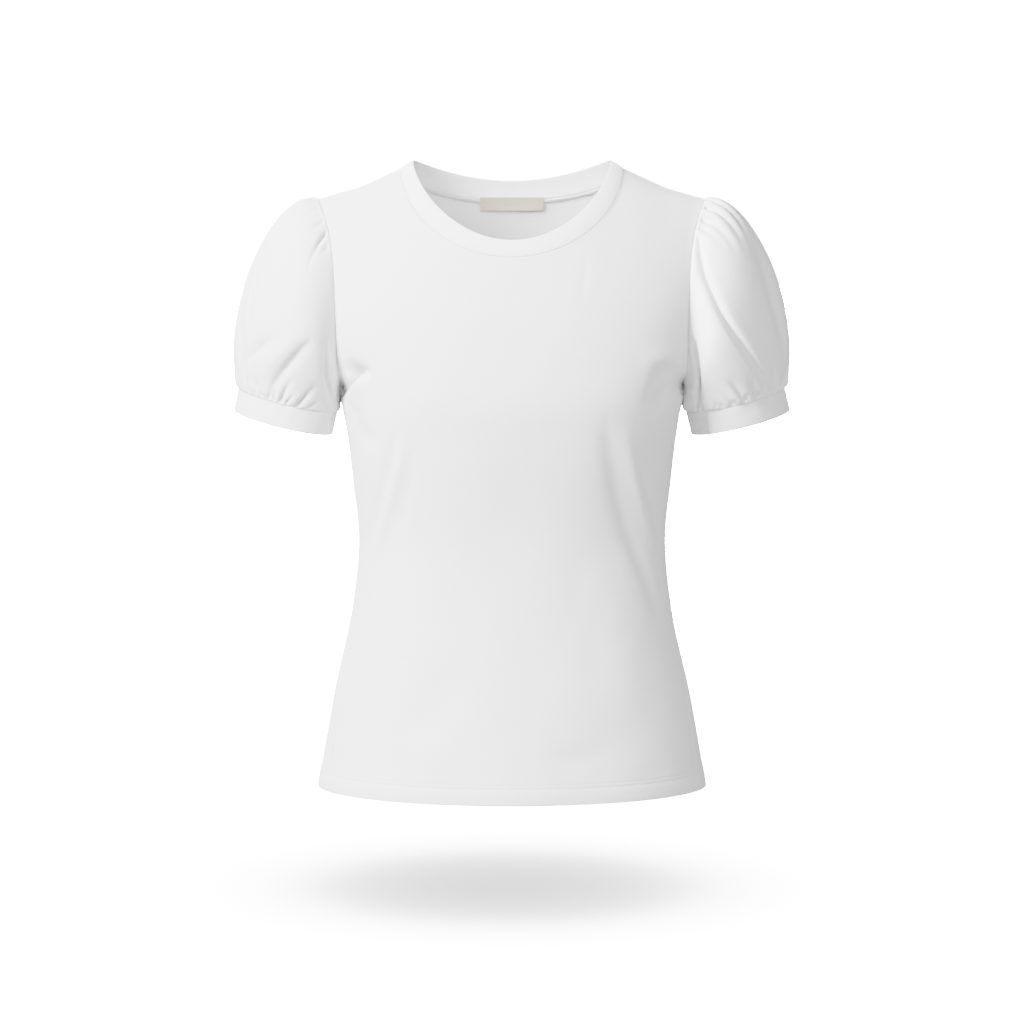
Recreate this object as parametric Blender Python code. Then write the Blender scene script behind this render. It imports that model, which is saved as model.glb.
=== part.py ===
"""A women's crew-neck t-shirt with short puff sleeves, hollow and filled out as if worn.

Metres, +Z up. The front faces -Y and the wearer's left is +X. The origin is the middle of the neck
opening, level with the neckband's highest points on the shoulders, where the wearer carries it.

The body is one smooth form: blocky oval sections stacked by height, closed over the shoulders by a
crest line. The front, the back, the neckband and the label are cut from it along the real seams.
Each sleeve is a loft from its armhole to its cuff, puffed out and gathered at both ends.
"""
import bpy
import bmesh
import numpy as np

for leftover in list(bpy.data.objects):
    bpy.data.objects.remove(leftover, do_unlink=True)

# ---- cloth and seams -------------------------------------------------------------------------
JERSEY_WALL = 0.0012
CUFF_WALL = 0.0018
BAND_WALL = 0.0018
LABEL_WALL = 0.0010
HEM_WALL = 0.0022
HEM_DEPTH = 0.021
HEM_STEP = 0.0012
SEAM_GAP = 0.0003

# ---- body ------------------------------------------------------------------------------------
UNDERARM_Z = -0.2265


def table(columns, *rows):
    """A short table: its named columns, each as an array."""
    return dict(zip(columns.split(), np.array(rows, dtype=float).T))


# Body sections. Above the underarm the half width is that of the whole oval, which the armhole cuts.
BODY = table(
    "z       half_width  front_depth  back_depth  power",
    (-0.6020, 0.1862, 0.1240, 0.1100, 2.00),
    (-0.5780, 0.1829, 0.1215, 0.1080, 2.00),
    (-0.5390, 0.1765, 0.1165, 0.1030, 2.02),
    (-0.5000, 0.1691, 0.1115, 0.0970, 2.06),
    (-0.4610, 0.1598, 0.1065, 0.0910, 2.11),
    (-0.4220, 0.1525, 0.1030, 0.0860, 2.16),
    (-0.3930, 0.1490, 0.1015, 0.0840, 2.20),
    (-0.3640, 0.1470, 0.1015, 0.0840, 2.24),
    (-0.3350, 0.1487, 0.1040, 0.0860, 2.28),
    (-0.3060, 0.1525, 0.1085, 0.0890, 2.32),
    (-0.2770, 0.1557, 0.1140, 0.0930, 2.36),
    (-0.2480, 0.1600, 0.1185, 0.0965, 2.40),
    (-0.2265, 0.1641, 0.1200, 0.0985, 2.40),
    (-0.1900, 0.1726, 0.1170, 0.1010, 2.40),
    (-0.1500, 0.1820, 0.1115, 0.1020, 2.40),
    (-0.1000, 0.1940, 0.1025, 0.1000, 2.36),
    (-0.0500, 0.2055, 0.0920, 0.0930, 2.30),
    (0.0000, 0.2170, 0.0800, 0.0840, 2.30),
)

# The top of the shoulders. Inside the neck hole it only steers the slope of the cloth around it.
CREST = table(
    "x       z",
    (0.0000, 0.0300),
    (0.0500, 0.0210),
    (0.0800, 0.0065),
    (0.1055, -0.0072),
    (0.1146, -0.0113),
    (0.1261, -0.0168),
    (0.1375, -0.0220),
    (0.1490, -0.0266),
    (0.1604, -0.0300),
    (0.1719, -0.0334),
    (0.1842, -0.0365),
)

# The armhole's cut, by height. Its depth to the front and back follows from the body's form.
ARMHOLE = table(
    "z       x",
    (-0.2265, 0.1641),
    (-0.1720, 0.1668),
    (-0.1180, 0.1685),
    (-0.0885, 0.1703),
    (-0.0666, 0.1738),
    (-0.0499, 0.1785),
    (-0.0365, 0.1842),
)

# The angle round the body, from the middle of the front, at which the side seam lies.
SIDE_SEAM = table(
    "z       angle",
    (-0.6020, 70.0),
    (-0.5000, 78.0),
    (-0.4200, 87.0),
    (-0.3600, 90.0),
    (-0.2265, 90.0),
)

# ---- neck ------------------------------------------------------------------------------------
NECK_HALF_WIDTH = 0.1055
NECK_SIDE_Z = -0.0072
NECK_FRONT_Z = -0.0862
NECK_FRONT_POWER = 1.1
NECK_BACK_Z = -0.0418
NECK_BACK_POWER = 1.0
BAND_HALF_WIDTH = 0.0940
BAND_SIDE_Z = 0.0
BAND_FRONT_Z = -0.0703
BAND_FRONT_POWER = 1.4
BAND_BACK_Z = -0.0224
BAND_BACK_POWER = 1.9
NECK_CROWDING = 1.6
BAND_REACH = 0.94
BAND_SWELL = 0.0006

LABEL_HALF_WIDTH = 0.0309
LABEL_TOP_Z = -0.0375
LABEL_BOTTOM_Z = -0.0512
LABEL_COLUMNS = 6
LABEL_ROWS = 2

# ---- sleeves and cuffs -----------------------------------------------------------------------
CUFF_TOP = (0.2142, 0.0, -0.2280)
CUFF_RADIUS = 0.0482
CUFF_DEPTH_RADIUS = 0.0490
CUFF_HEIGHT = 0.0225
CUFF_TILT = 12.5
CUFF_PITCH = 4.0
CUFF_YAW = 9.0

# How the sleeve leaves the armhole and comes into the cuff: at the top, at the underarm, and the
# share that the front and the back add.
SLEEVE_LEAVE_TOP = (0.1395, 0.0, 0.0280)
SLEEVE_LEAVE_BOTTOM = (0.0020, 0.0, -0.0095)
SLEEVE_LEAVE_SIDE = (0.0160, 0.0780, -0.0300)
SLEEVE_ARRIVE_TOP = (-0.0590, 0.0, -0.1940)
SLEEVE_ARRIVE_BOTTOM = (0.0030, 0.0, -0.0103)
SLEEVE_ARRIVE_SIDE = (0.0200, -0.0560, -0.0550)

# ---- grid ------------------------------------------------------------------------------------
PANEL_COLUMNS = 30
NECK_SHARE = 0.60
EDGE_HOLD = 4
RISE_ROWS = 16
BODY_ROW_HEIGHT = 0.030
SLEEVE_COLUMNS = 4 * RISE_ROWS
SLEEVE_ROWS = 12
SLEEVE_CROWDING = 0.04
CUFF_COLUMNS = SLEEVE_COLUMNS // 2
BAND_SHARES = (0.0, 0.5, 1.0)
FOLD_END_SHARE = 0.6
NORMAL_STEP = 1e-5
ROUNDING = 1e-9
SHARP_ANGLE = 40.0


def curve(known, values, at):
    """A natural cubic spline through a table's rows, held flat past its ends."""
    at = np.clip(at, known[0], known[-1])
    step = np.diff(known)
    slope = np.diff(values) / step
    size = len(known)
    system = np.eye(size)
    right = np.zeros(size)
    for row in range(1, size - 1):
        system[row, row - 1] = step[row - 1]
        system[row, row] = 2 * (step[row - 1] + step[row])
        system[row, row + 1] = step[row]
        right[row] = 6 * (slope[row] - slope[row - 1])
    bend = np.linalg.solve(system, right)
    cell = np.clip(np.searchsorted(known, at) - 1, 0, size - 2)
    low = (at - known[cell]) / step[cell]
    high = 1 - low
    cubic = (high ** 3 - high) * bend[cell] + (low ** 3 - low) * bend[cell + 1]
    return high * values[cell] + low * values[cell + 1] + step[cell] ** 2 * cubic / 6


def unit(vectors):
    """The vectors at length one."""
    return vectors / np.linalg.norm(vectors, axis=-1, keepdims=True)


def crest_z(x):
    """The height of the shoulder line."""
    return curve(CREST["x"] ** 2, CREST["z"], x ** 2)


def body_size(name, z):
    """One size of the body's section at a height."""
    return curve(BODY["z"], BODY[name], z)


def body_depth(z, back):
    """The depth of the section at its middle."""
    return body_size("back_depth" if back else "front_depth", z)


def body_left(x, z, power):
    """What is left, towards the section's edge and up to the shoulder line, at a point."""
    rise = np.maximum((z - UNDERARM_Z) / (crest_z(x) - UNDERARM_Z), 0.0)
    return (1 - np.abs(x / body_size("half_width", z)) ** power) * (1 - rise ** power)


def body_point(x, z, back):
    """The point of the body's form over x and z, on its front or its back."""
    power = body_size("power", z)
    y = body_depth(z, back) * np.maximum(body_left(x, z, power), 0.0) ** (1 / power) * (1 if back else -1)
    return np.stack([x, y, z + 0 * x], axis=-1)


def body_field(points):
    """Negative inside the body's form, zero on it."""
    x, y, z = points[..., 0], points[..., 1], points[..., 2]
    power = body_size("power", z)
    depth = np.where(y > 0, body_depth(z, True), body_depth(z, False))
    return np.abs(y / depth) ** power - body_left(x, z, power)


def body_normal(points):
    """The direction straight out of the body's form."""
    parts = []
    for axis in range(3):
        move = np.zeros(3)
        move[axis] = NORMAL_STEP
        parts.append(body_field(points + move) - body_field(points - move))
    return unit(np.stack(parts, axis=-1))


def section_point(angle, z, back):
    """A point of a section at an angle from its middle. Past 90 degrees it is on the other side."""
    across, along, power = np.sin(angle), np.cos(angle), body_size("power", z)
    stretch = (np.abs(across) ** power + np.abs(along) ** power) ** (-1 / power)
    depth = np.where(along >= 0, body_depth(z, back), body_depth(z, not back))
    x = body_size("half_width", z) * stretch * across
    y = depth * stretch * along * (1 if back else -1)
    return np.stack([x, y, z + 0 * x], axis=-1)


def neck_turn(share):
    """The angle round the neck for a share from 1 at the left shoulder to -1 at the right."""
    away = (1 - np.abs(share)) ** NECK_CROWDING
    return np.pi / 2 * np.where(share >= 0, away, 2 - away)


def neck_seam(turn, back):
    """The seam of the neckband, with turn from 0 at the left shoulder to pi at the right."""
    low, power = (NECK_BACK_Z, NECK_BACK_POWER) if back else (NECK_FRONT_Z, NECK_FRONT_POWER)
    x = NECK_HALF_WIDTH * np.cos(turn)
    return x, NECK_SIDE_Z + (low - NECK_SIDE_Z) * np.abs(np.sin(turn)) ** power


def armhole(climb):
    """x and z of the armhole's cut, with climb from 0 at the underarm to 1 at the shoulder tip."""
    z = UNDERARM_Z + (ARMHOLE["z"][-1] - UNDERARM_Z) * (1 - np.cos(np.pi * climb)) / 2
    return curve(ARMHOLE["z"], ARMHOLE["x"], z), z


# Folds pressed into the front and back: from one end to the other, with the half width and depth.
FRONT_FOLDS = table(
    "x0      z0       x1       z1      half_width  depth",
    (-0.1600, -0.2120, -0.1500, -0.1960, 0.0060, 0.0030),
    (-0.1510, -0.1960, -0.1370, -0.1990, 0.0050, 0.0024),
    (-0.1530, -0.2360, -0.1440, -0.2620, 0.0080, 0.0016),
    (0.1500, -0.1980, 0.1280, -0.2130, 0.0085, 0.0024),
    (0.1280, -0.2130, 0.1130, -0.2520, 0.0100, 0.0018),
    (-0.1120, -0.2700, -0.1330, -0.3700, 0.0120, 0.0012),
    (0.1100, -0.2700, 0.1290, -0.3650, 0.0120, 0.0014),
    (0.0420, -0.5650, 0.0900, -0.5760, 0.0120, 0.0012),
)
BACK_FOLDS = table(
    "x0      z0       x1       z1      half_width  depth",
    (-0.1570, -0.2060, -0.1330, -0.2010, 0.0070, 0.0026),
    (0.1560, -0.2080, 0.1360, -0.1960, 0.0070, 0.0026),
    (-0.1250, -0.3560, -0.0700, -0.3720, 0.0110, 0.0022),
    (0.1260, -0.3640, 0.0760, -0.3820, 0.0110, 0.0022),
    (-0.1050, -0.2500, -0.1210, -0.3300, 0.0120, 0.0014),
    (0.1040, -0.2600, 0.1230, -0.3400, 0.0120, 0.0014),
)


def pressed(across, along, folds, names):
    """How deep the folds press in at each point, each as a soft trough with tapered ends."""
    total = np.zeros(np.broadcast(across, along).shape)
    for row in range(len(folds["depth"])):
        start_x, start_z, end_x, end_z = (folds[name][row] for name in names)
        run_x, run_z = end_x - start_x, end_z - start_z
        length = np.hypot(run_x, run_z)
        share = ((across - start_x) * run_x + (along - start_z) * run_z) / length ** 2
        inside = np.clip(share, 0, 1)
        away = np.hypot(across - start_x - inside * run_x, along - start_z - inside * run_z)
        taper = FOLD_END_SHARE + (1 - FOLD_END_SHARE) * np.sin(np.pi * inside)
        total += folds["depth"][row] * taper * np.exp(-(away / folds["half_width"][row]) ** 2)
    return total


def panel_grid(back):
    """The front's or back's outer face, rows from the hem up, and how thick its wall is by row."""
    side = np.linspace(-1, 1, PANEL_COLUMNS + 1)
    hem_z = BODY["z"][0]
    hem_top = hem_z + HEM_DEPTH
    rest = UNDERARM_Z - hem_top - HEM_STEP
    count = int(round(rest / BODY_ROW_HEIGHT))
    levels = [hem_z, hem_top] + [hem_top + HEM_STEP + rest * row / count for row in range(count)]
    rows, walls = [], []
    for z in levels:
        edge = np.radians(curve(SIDE_SEAM["z"], SIDE_SEAM["angle"], np.array(z)))
        edge = np.pi - edge if back else edge
        edge = edge - SEAM_GAP / 2 / body_depth(z, back)
        rows.append(section_point(side * edge, z, back))
        walls.append(HEM_WALL if z <= hem_top else JERSEY_WALL)

    start = section_point(side * np.pi / 2, UNDERARM_Z, back)[:, 0] / ARMHOLE["x"][0]
    neck = np.abs(side) <= NECK_SHARE + ROUNDING
    neck_x, neck_z = neck_seam(neck_turn(np.clip(side / NECK_SHARE, -1, 1)), back)
    out = np.clip((np.abs(side) - NECK_SHARE) / (1 - NECK_SHARE), 0, 1)
    shoulder_x = np.sign(side) * (NECK_HALF_WIDTH + (ARMHOLE["x"][-1] - NECK_HALF_WIDTH) * out)
    top_x = np.where(neck, neck_x, shoulder_x)
    top_z = np.where(neck, neck_z, crest_z(shoulder_x))
    finish = top_x / curve(ARMHOLE["z"], ARMHOLE["x"], top_z)
    edge_pull = np.abs(side) ** EDGE_HOLD
    towards = 1 if back else -1
    half_gap = SEAM_GAP / 2
    for step in range(RISE_ROWS + 1):
        climb = step / RISE_ROWS
        even, slow = np.sin(np.pi / 2 * climb), (1 - np.cos(np.pi * climb)) / 2
        share = (1 - edge_pull) * even + edge_pull * slow
        z = UNDERARM_Z + (top_z - UNDERARM_Z) * share
        lean = start + (finish - start) * share
        x = lean * curve(ARMHOLE["z"], ARMHOLE["x"], z)
        points = body_point(x, z, back)
        if step == 0:
            edge = np.pi / 2 - half_gap / body_depth(z, back)
            points = section_point(side * edge, UNDERARM_Z, back)
        elif step == RISE_ROWS:
            seam = np.abs(side) >= NECK_SHARE - ROUNDING
            points[seam, 1] = half_gap * towards
        else:
            points[[0, -1], 1] += half_gap * towards
        rows.append(points)
        walls.append(JERSEY_WALL)
    return np.array(rows), np.array(walls)


def material(name, colour, roughness):
    """A plain cloth finish."""
    made = bpy.data.materials.new(name)
    made.use_nodes = True
    shader = made.node_tree.nodes["Principled BSDF"]
    shader.inputs["Base Color"].default_value = (*colour, 1.0)
    shader.inputs["Roughness"].default_value = roughness
    shader.inputs["Metallic"].default_value = 0.0
    return made


collection = bpy.data.collections.new("puff_sleeve_tshirt")
bpy.context.scene.collection.children.link(collection)
jersey = material("white_jersey", (0.90, 0.90, 0.90), 0.85)
rib = material("white_rib", (0.90, 0.90, 0.90), 0.88)
woven = material("label_weave", (0.66, 0.62, 0.54), 0.75)


def closed_wall(name, outer, inner, ring, finish):
    """One solid wall between an outer and an inner grid, open at its ends or round in a ring."""
    rows, columns = outer.shape[:2]
    mesh = bmesh.new()
    faces = [[[mesh.verts.new(point) for point in row] for row in grid] for grid in (outer, inner)]
    spans = columns if ring else columns - 1
    for row in range(rows - 1):
        for column in range(spans):
            after = (column + 1) % columns
            for grid, flip in ((faces[0], False), (faces[1], True)):
                below, above = grid[row], grid[row + 1]
                corners = [below[column], below[after], above[after], above[column]]
                mesh.faces.new(corners[::-1] if flip else corners)
    for row in (0, rows - 1):
        for column in range(spans):
            after = (column + 1) % columns
            mesh.faces.new([faces[0][row][after], faces[0][row][column],
                            faces[1][row][column], faces[1][row][after]])
    if not ring:
        for column in (0, columns - 1):
            for row in range(rows - 1):
                mesh.faces.new([faces[0][row][column], faces[0][row + 1][column],
                                faces[1][row + 1][column], faces[1][row][column]])
    bmesh.ops.recalc_face_normals(mesh, faces=mesh.faces)
    if mesh.calc_volume(signed=True) < 0:
        bmesh.ops.reverse_faces(mesh, faces=mesh.faces)
    data = bpy.data.meshes.new(name)
    mesh.to_mesh(data)
    mesh.free()
    data.materials.append(finish)
    data.shade_smooth()
    data.set_sharp_from_angle(angle=np.radians(SHARP_ANGLE))
    made = bpy.data.objects.new(name, data)
    collection.objects.link(made)
    return made


def panel(name, back, folds):
    """The front or the back."""
    grid, walls = panel_grid(back)
    out = body_normal(grid)
    press = pressed(grid[..., 0], grid[..., 2], folds, ("x0", "z0", "x1", "z1"))
    outer = grid - out * press[..., None]
    inner = outer - out * walls[:, None, None]
    return closed_wall(name, outer, inner, False, jersey)


def neckband():
    """The rib band round the neck, folded double, standing a little steeper than the cloth."""
    half = int(round(PANEL_COLUMNS * NECK_SHARE))
    seam, edge = [], []
    for back in (False, True):
        turn = neck_turn(np.linspace(1, -1, half + 1))
        x, z = neck_seam(turn, back)
        points = body_point(x, z, back)
        points[[0, -1], 1] = 0.0
        low, power = (BAND_BACK_Z, BAND_BACK_POWER) if back else (BAND_FRONT_Z, BAND_FRONT_POWER)
        rise = np.abs(np.sin(turn)) ** power
        top = np.stack([BAND_HALF_WIDTH * np.cos(turn), points[:, 1] * BAND_REACH,
                        BAND_SIDE_Z + (low - BAND_SIDE_Z) * rise], axis=-1)
        order = slice(0, half) if not back else slice(half, 0, -1)
        seam.append(points[order])
        edge.append(top[order])
    seam, edge = np.concatenate(seam), np.concatenate(edge)
    up = unit(edge - seam)
    along = np.roll(seam, -1, axis=0) - np.roll(seam, 1, axis=0)
    out = unit(np.cross(along, up))
    out *= np.sign(np.sum(out * seam * (1, 1, 0), axis=-1, keepdims=True))
    start = seam + up * SEAM_GAP
    rows = []
    for share in BAND_SHARES:
        rows.append(start + (edge - start) * share + out * BAND_SWELL * np.sin(np.pi * share))
    outer = np.array(rows)
    inner = outer - out[None] * BAND_WALL
    return closed_wall("neckband", outer, inner, True, rib)


def neck_label():
    """The small label inside the back, sewn over the neckband's seam."""
    across, down = np.meshgrid(np.linspace(-1, 1, LABEL_COLUMNS + 1) * LABEL_HALF_WIDTH,
                               np.linspace(LABEL_BOTTOM_Z, LABEL_TOP_Z, LABEL_ROWS + 1))
    cloth = body_point(across, down, True)
    out = body_normal(cloth)
    outer = cloth - out * (BAND_WALL + SEAM_GAP)
    inner = outer - out * LABEL_WALL
    return closed_wall("neck_label", outer, inner, False, woven)


def cuff_ring(turn, lower, side):
    """A ring round the cuff's slanted axis, with turn from 0 outward, by the front, to pi inward."""
    tilt, pitch, yaw = np.radians((CUFF_TILT, CUFF_PITCH, CUFF_YAW))
    axis = np.array([np.sin(tilt), 0.0, -np.cos(tilt)])
    outward = np.array([np.cos(tilt), 0.0, np.sin(tilt)])
    forward = np.array([-np.sin(yaw), -np.cos(pitch) * np.cos(yaw), -np.sin(pitch)])
    centre = np.array(CUFF_TOP) + axis * lower
    ring = (centre + np.cos(turn)[..., None] * outward * CUFF_RADIUS
            + np.sin(turn)[..., None] * forward * CUFF_DEPTH_RADIUS)
    return ring * (side, 1, 1)


def cuff(name, side):
    """A short double band round the arm."""
    turn = np.linspace(0, 2 * np.pi, CUFF_COLUMNS, endpoint=False)
    drops = (SEAM_GAP, CUFF_HEIGHT / 2, CUFF_HEIGHT)
    outer = np.array([cuff_ring(turn, drop, side) for drop in drops])
    middle = outer.mean(axis=1, keepdims=True)
    inner = outer - unit(outer - middle) * CUFF_WALL
    return closed_wall(name, outer, inner, True, jersey)


# Gathers and folds of the sleeves: where they start and end, as an angle round the sleeve (0 on
# top and outward, 90 in front, 180 under the arm, 270 behind) and a share of the way to the cuff,
# with the half width in degrees and the depth in metres.
GATHERS = table(
    "turn0  down0  turn1  down1  half_width  depth",
    (11.0, 0.03, 12.0, 0.30, 5.0, 0.0040),
    (22.0, 0.03, 26.0, 0.32, 5.0, 0.0052),
    (33.0, 0.03, 39.0, 0.24, 5.0, 0.0048),
    (45.0, 0.03, 52.0, 0.19, 5.0, 0.0036),
    (349.0, 0.03, 347.0, 0.31, 5.0, 0.0044),
    (338.0, 0.03, 333.0, 0.28, 5.0, 0.0052),
    (326.0, 0.03, 319.0, 0.24, 5.0, 0.0042),
    (314.0, 0.03, 308.0, 0.19, 5.0, 0.0034),
    (17.0, 0.76, 17.0, 0.98, 5.5, 0.0040),
    (33.0, 0.83, 34.0, 0.98, 5.5, 0.0040),
    (50.0, 0.80, 51.0, 0.98, 5.5, 0.0044),
    (72.0, 0.80, 67.0, 0.98, 5.5, 0.0046),
    (90.0, 0.86, 84.0, 0.98, 5.5, 0.0038),
    (108.0, 0.84, 101.0, 0.98, 5.5, 0.0032),
    (128.0, 0.82, 123.0, 0.98, 6.0, 0.0024),
    (232.0, 0.80, 236.0, 0.98, 6.0, 0.0026),
    (253.0, 0.82, 258.0, 0.98, 5.5, 0.0036),
    (273.0, 0.76, 275.0, 0.98, 5.5, 0.0044),
    (292.0, 0.82, 292.0, 0.98, 5.5, 0.0040),
    (311.0, 0.84, 309.0, 0.98, 5.5, 0.0038),
    (327.0, 0.75, 326.0, 0.98, 5.5, 0.0044),
    (343.0, 0.82, 343.0, 0.98, 5.5, 0.0038),
)
LEFT_FOLDS = table(
    "turn0  down0  turn1  down1  half_width  depth",
    (54.0, 0.07, 79.0, 0.24, 6.0, 0.0038),
    (79.0, 0.24, 82.0, 0.50, 6.0, 0.0038),
    (82.0, 0.50, 56.0, 0.90, 6.0, 0.0040),
    (114.0, 0.10, 137.0, 0.48, 8.0, 0.0016),
    (300.0, 0.12, 281.0, 0.46, 9.0, 0.0028),
    (318.0, 0.52, 336.0, 0.84, 9.0, 0.0026),
)
RIGHT_FOLDS = table(
    "turn0  down0  turn1  down1  half_width  depth",
    (96.0, 0.52, 66.0, 0.93, 8.0, 0.0042),
    (60.0, 0.68, 36.0, 0.88, 8.0, 0.0024),
    (112.0, 0.30, 138.0, 0.86, 8.0, 0.0026),
    (22.0, 0.50, 32.0, 0.74, 7.0, 0.0018),
    (48.0, 0.04, 61.0, 0.16, 5.0, 0.0030),
    (292.0, 0.20, 274.0, 0.52, 9.0, 0.0028),
    (330.0, 0.56, 312.0, 0.86, 9.0, 0.0026),
)
DEGREES_PER_LENGTH = 200.0


def mixed(turn, top, bottom, flank):
    """A direction round the sleeve, from its values on top, under the arm and on the flanks."""
    over, under, sideways = np.cos(turn / 2) ** 2, np.sin(turn / 2) ** 2, np.sin(turn)
    flanks = np.stack([flank[0] * np.abs(sideways), -flank[1] * sideways,
                       flank[2] * np.abs(sideways)], axis=-1)
    return over[..., None] * np.array(top) + under[..., None] * np.array(bottom) + flanks


def sleeve_form(turn, down):
    """The left sleeve before it is gathered, at an angle round it and a share of the way down."""
    x, z = armhole(np.abs(1 - turn / np.pi))
    start = np.where((turn > np.pi)[..., None], body_point(x, z, True), body_point(x, z, False))
    start = start + (SEAM_GAP, 0, 0)
    end = cuff_ring(turn, 0.0, 1)
    leave = mixed(turn, SLEEVE_LEAVE_TOP, SLEEVE_LEAVE_BOTTOM, SLEEVE_LEAVE_SIDE)
    arrive = mixed(turn, SLEEVE_ARRIVE_TOP, SLEEVE_ARRIVE_BOTTOM, SLEEVE_ARRIVE_SIDE)
    share = down[..., None]
    return ((2 * share ** 3 - 3 * share ** 2 + 1) * start + (share ** 3 - 2 * share ** 2 + share) * leave
            + (3 * share ** 2 - 2 * share ** 3) * end + (share ** 3 - share ** 2) * arrive)


def sleeve(name, side, own_folds):
    """One sleeve, from the armhole to the cuff."""
    turn = np.linspace(0, 2 * np.pi, SLEEVE_COLUMNS, endpoint=False)
    down = np.linspace(0, 1, SLEEVE_ROWS + 1)
    down = down - SLEEVE_CROWDING * np.sin(2 * np.pi * down)
    turns, downs = np.meshgrid(turn, down)
    grid = sleeve_form(turns, downs)
    ahead = np.roll(grid, -1, axis=1) - np.roll(grid, 1, axis=1)
    out = unit(np.cross(ahead, np.gradient(grid, axis=0)))
    out *= np.sign(np.sum(out * (grid - grid.mean(axis=(0, 1)))))
    press = np.zeros(turns.shape)
    for folds in (GATHERS, own_folds):
        spread = dict(folds, down0=folds["down0"] * DEGREES_PER_LENGTH,
                      down1=folds["down1"] * DEGREES_PER_LENGTH)
        for wrap in (-360, 0, 360):
            press += pressed(np.degrees(turns) + wrap, downs * DEGREES_PER_LENGTH, spread,
                             ("turn0", "down0", "turn1", "down1"))
    press[[0, -1]] = 0.0
    outer = grid - out * press[..., None]
    inner = outer - out * JERSEY_WALL
    return closed_wall(name, outer * (side, 1, 1), inner * (side, 1, 1), True, jersey)


panel("front_panel", False, FRONT_FOLDS)
panel("back_panel", True, BACK_FOLDS)
neckband()
neck_label()
for suffix, direction, creases in (("left", 1, LEFT_FOLDS), ("right", -1, RIGHT_FOLDS)):
    sleeve("sleeve_" + suffix, direction, creases)
    cuff("cuff_" + suffix, direction)
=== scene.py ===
import bpy
import numpy as np
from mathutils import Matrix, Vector


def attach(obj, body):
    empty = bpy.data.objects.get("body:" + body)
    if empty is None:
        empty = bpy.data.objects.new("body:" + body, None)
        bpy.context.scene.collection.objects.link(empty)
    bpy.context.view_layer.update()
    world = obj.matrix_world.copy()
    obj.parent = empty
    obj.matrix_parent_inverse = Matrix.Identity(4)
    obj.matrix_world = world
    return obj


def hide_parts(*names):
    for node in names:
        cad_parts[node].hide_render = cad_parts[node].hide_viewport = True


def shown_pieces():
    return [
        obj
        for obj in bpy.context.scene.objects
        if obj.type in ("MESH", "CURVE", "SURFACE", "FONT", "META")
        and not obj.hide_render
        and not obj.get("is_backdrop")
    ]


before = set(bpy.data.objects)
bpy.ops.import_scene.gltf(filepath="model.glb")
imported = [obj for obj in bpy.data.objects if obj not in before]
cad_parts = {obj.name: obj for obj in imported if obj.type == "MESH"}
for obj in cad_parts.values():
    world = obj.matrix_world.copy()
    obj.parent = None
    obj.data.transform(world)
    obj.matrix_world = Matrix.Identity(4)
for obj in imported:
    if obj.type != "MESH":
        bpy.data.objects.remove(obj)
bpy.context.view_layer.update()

# ---- front and back --------------------------------------------------------------------------
# The front and the back are cut from fine white cotton jersey and shaped in at the waist. They are
# joined by overlocked seams at the shoulders and down the sides, and the hem is turned up inside.
# Sizes are in metres. Creases and gathers are written in millimetres, which this turns to metres.
MM = 0.001
JERSEY = 0.0007
SEAM_GAP = 0.00006
SEAM_TUCK = 0.00030
SEAM_ROLL = 0.0011
SEAM_HOLD = 0.004
UNDERARM_Z = -0.2265
MIDDLE_COLUMNS, OUTER_COLUMNS = 100, 46
EDGE_STEPS = (0.0022, 0.0050, 0.0090)
NECK_SHARE = 0.60
EDGE_HOLD = 4
RISE_ROWS = 84
ROW_HEIGHT = 0.0050
HEM_DEPTH = 0.0210
HEM_FOLD = 0.0009
HEM_SWELL, HEM_SWELL_EDGE = 0.0011, 24
HEM_DENT, HEM_DENT_WIDTH = 0.0007, 0.0011
HEM_DENT_ROWS = (-0.0010, 0.0, 0.0010)
HEM_ROWS = 6
FOLD_ROWS = 6
STITCH_ABOVE_HEM = (0.0158, 0.0190)


def table(columns, *rows):
    """A short table: its named columns, each as an array."""
    return dict(zip(columns.split(), np.array(rows, dtype=float).T))


# Sections of the body. Above the underarm the half width is the whole oval's, which the armhole cuts.
BODY = table(
    "z       half_width  front_depth  back_depth  power",
    (-0.6020, 0.1862, 0.1240, 0.1100, 2.00),
    (-0.5780, 0.1829, 0.1215, 0.1080, 2.00),
    (-0.5390, 0.1765, 0.1165, 0.1030, 2.02),
    (-0.5000, 0.1691, 0.1115, 0.0970, 2.06),
    (-0.4610, 0.1598, 0.1065, 0.0910, 2.11),
    (-0.4220, 0.1525, 0.1030, 0.0860, 2.16),
    (-0.3930, 0.1490, 0.1015, 0.0840, 2.20),
    (-0.3640, 0.1470, 0.1015, 0.0840, 2.24),
    (-0.3350, 0.1487, 0.1040, 0.0860, 2.28),
    (-0.3060, 0.1525, 0.1085, 0.0890, 2.32),
    (-0.2770, 0.1557, 0.1140, 0.0930, 2.36),
    (-0.2480, 0.1600, 0.1185, 0.0965, 2.40),
    (-0.2265, 0.1641, 0.1200, 0.0985, 2.40),
    (-0.1900, 0.1726, 0.1170, 0.1010, 2.40),
    (-0.1500, 0.1820, 0.1115, 0.1020, 2.40),
    (-0.1000, 0.1940, 0.1025, 0.1000, 2.36),
    (-0.0500, 0.2055, 0.0920, 0.0930, 2.30),
    (0.0000, 0.2170, 0.0800, 0.0840, 2.30),
)
CREST = table(
    "x       z",
    (0.0000, 0.0300),
    (0.0500, 0.0210),
    (0.0800, 0.0065),
    (0.1055, -0.0072),
    (0.1146, -0.0113),
    (0.1261, -0.0168),
    (0.1375, -0.0220),
    (0.1490, -0.0266),
    (0.1604, -0.0300),
    (0.1719, -0.0334),
    (0.1842, -0.0365),
)
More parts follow.
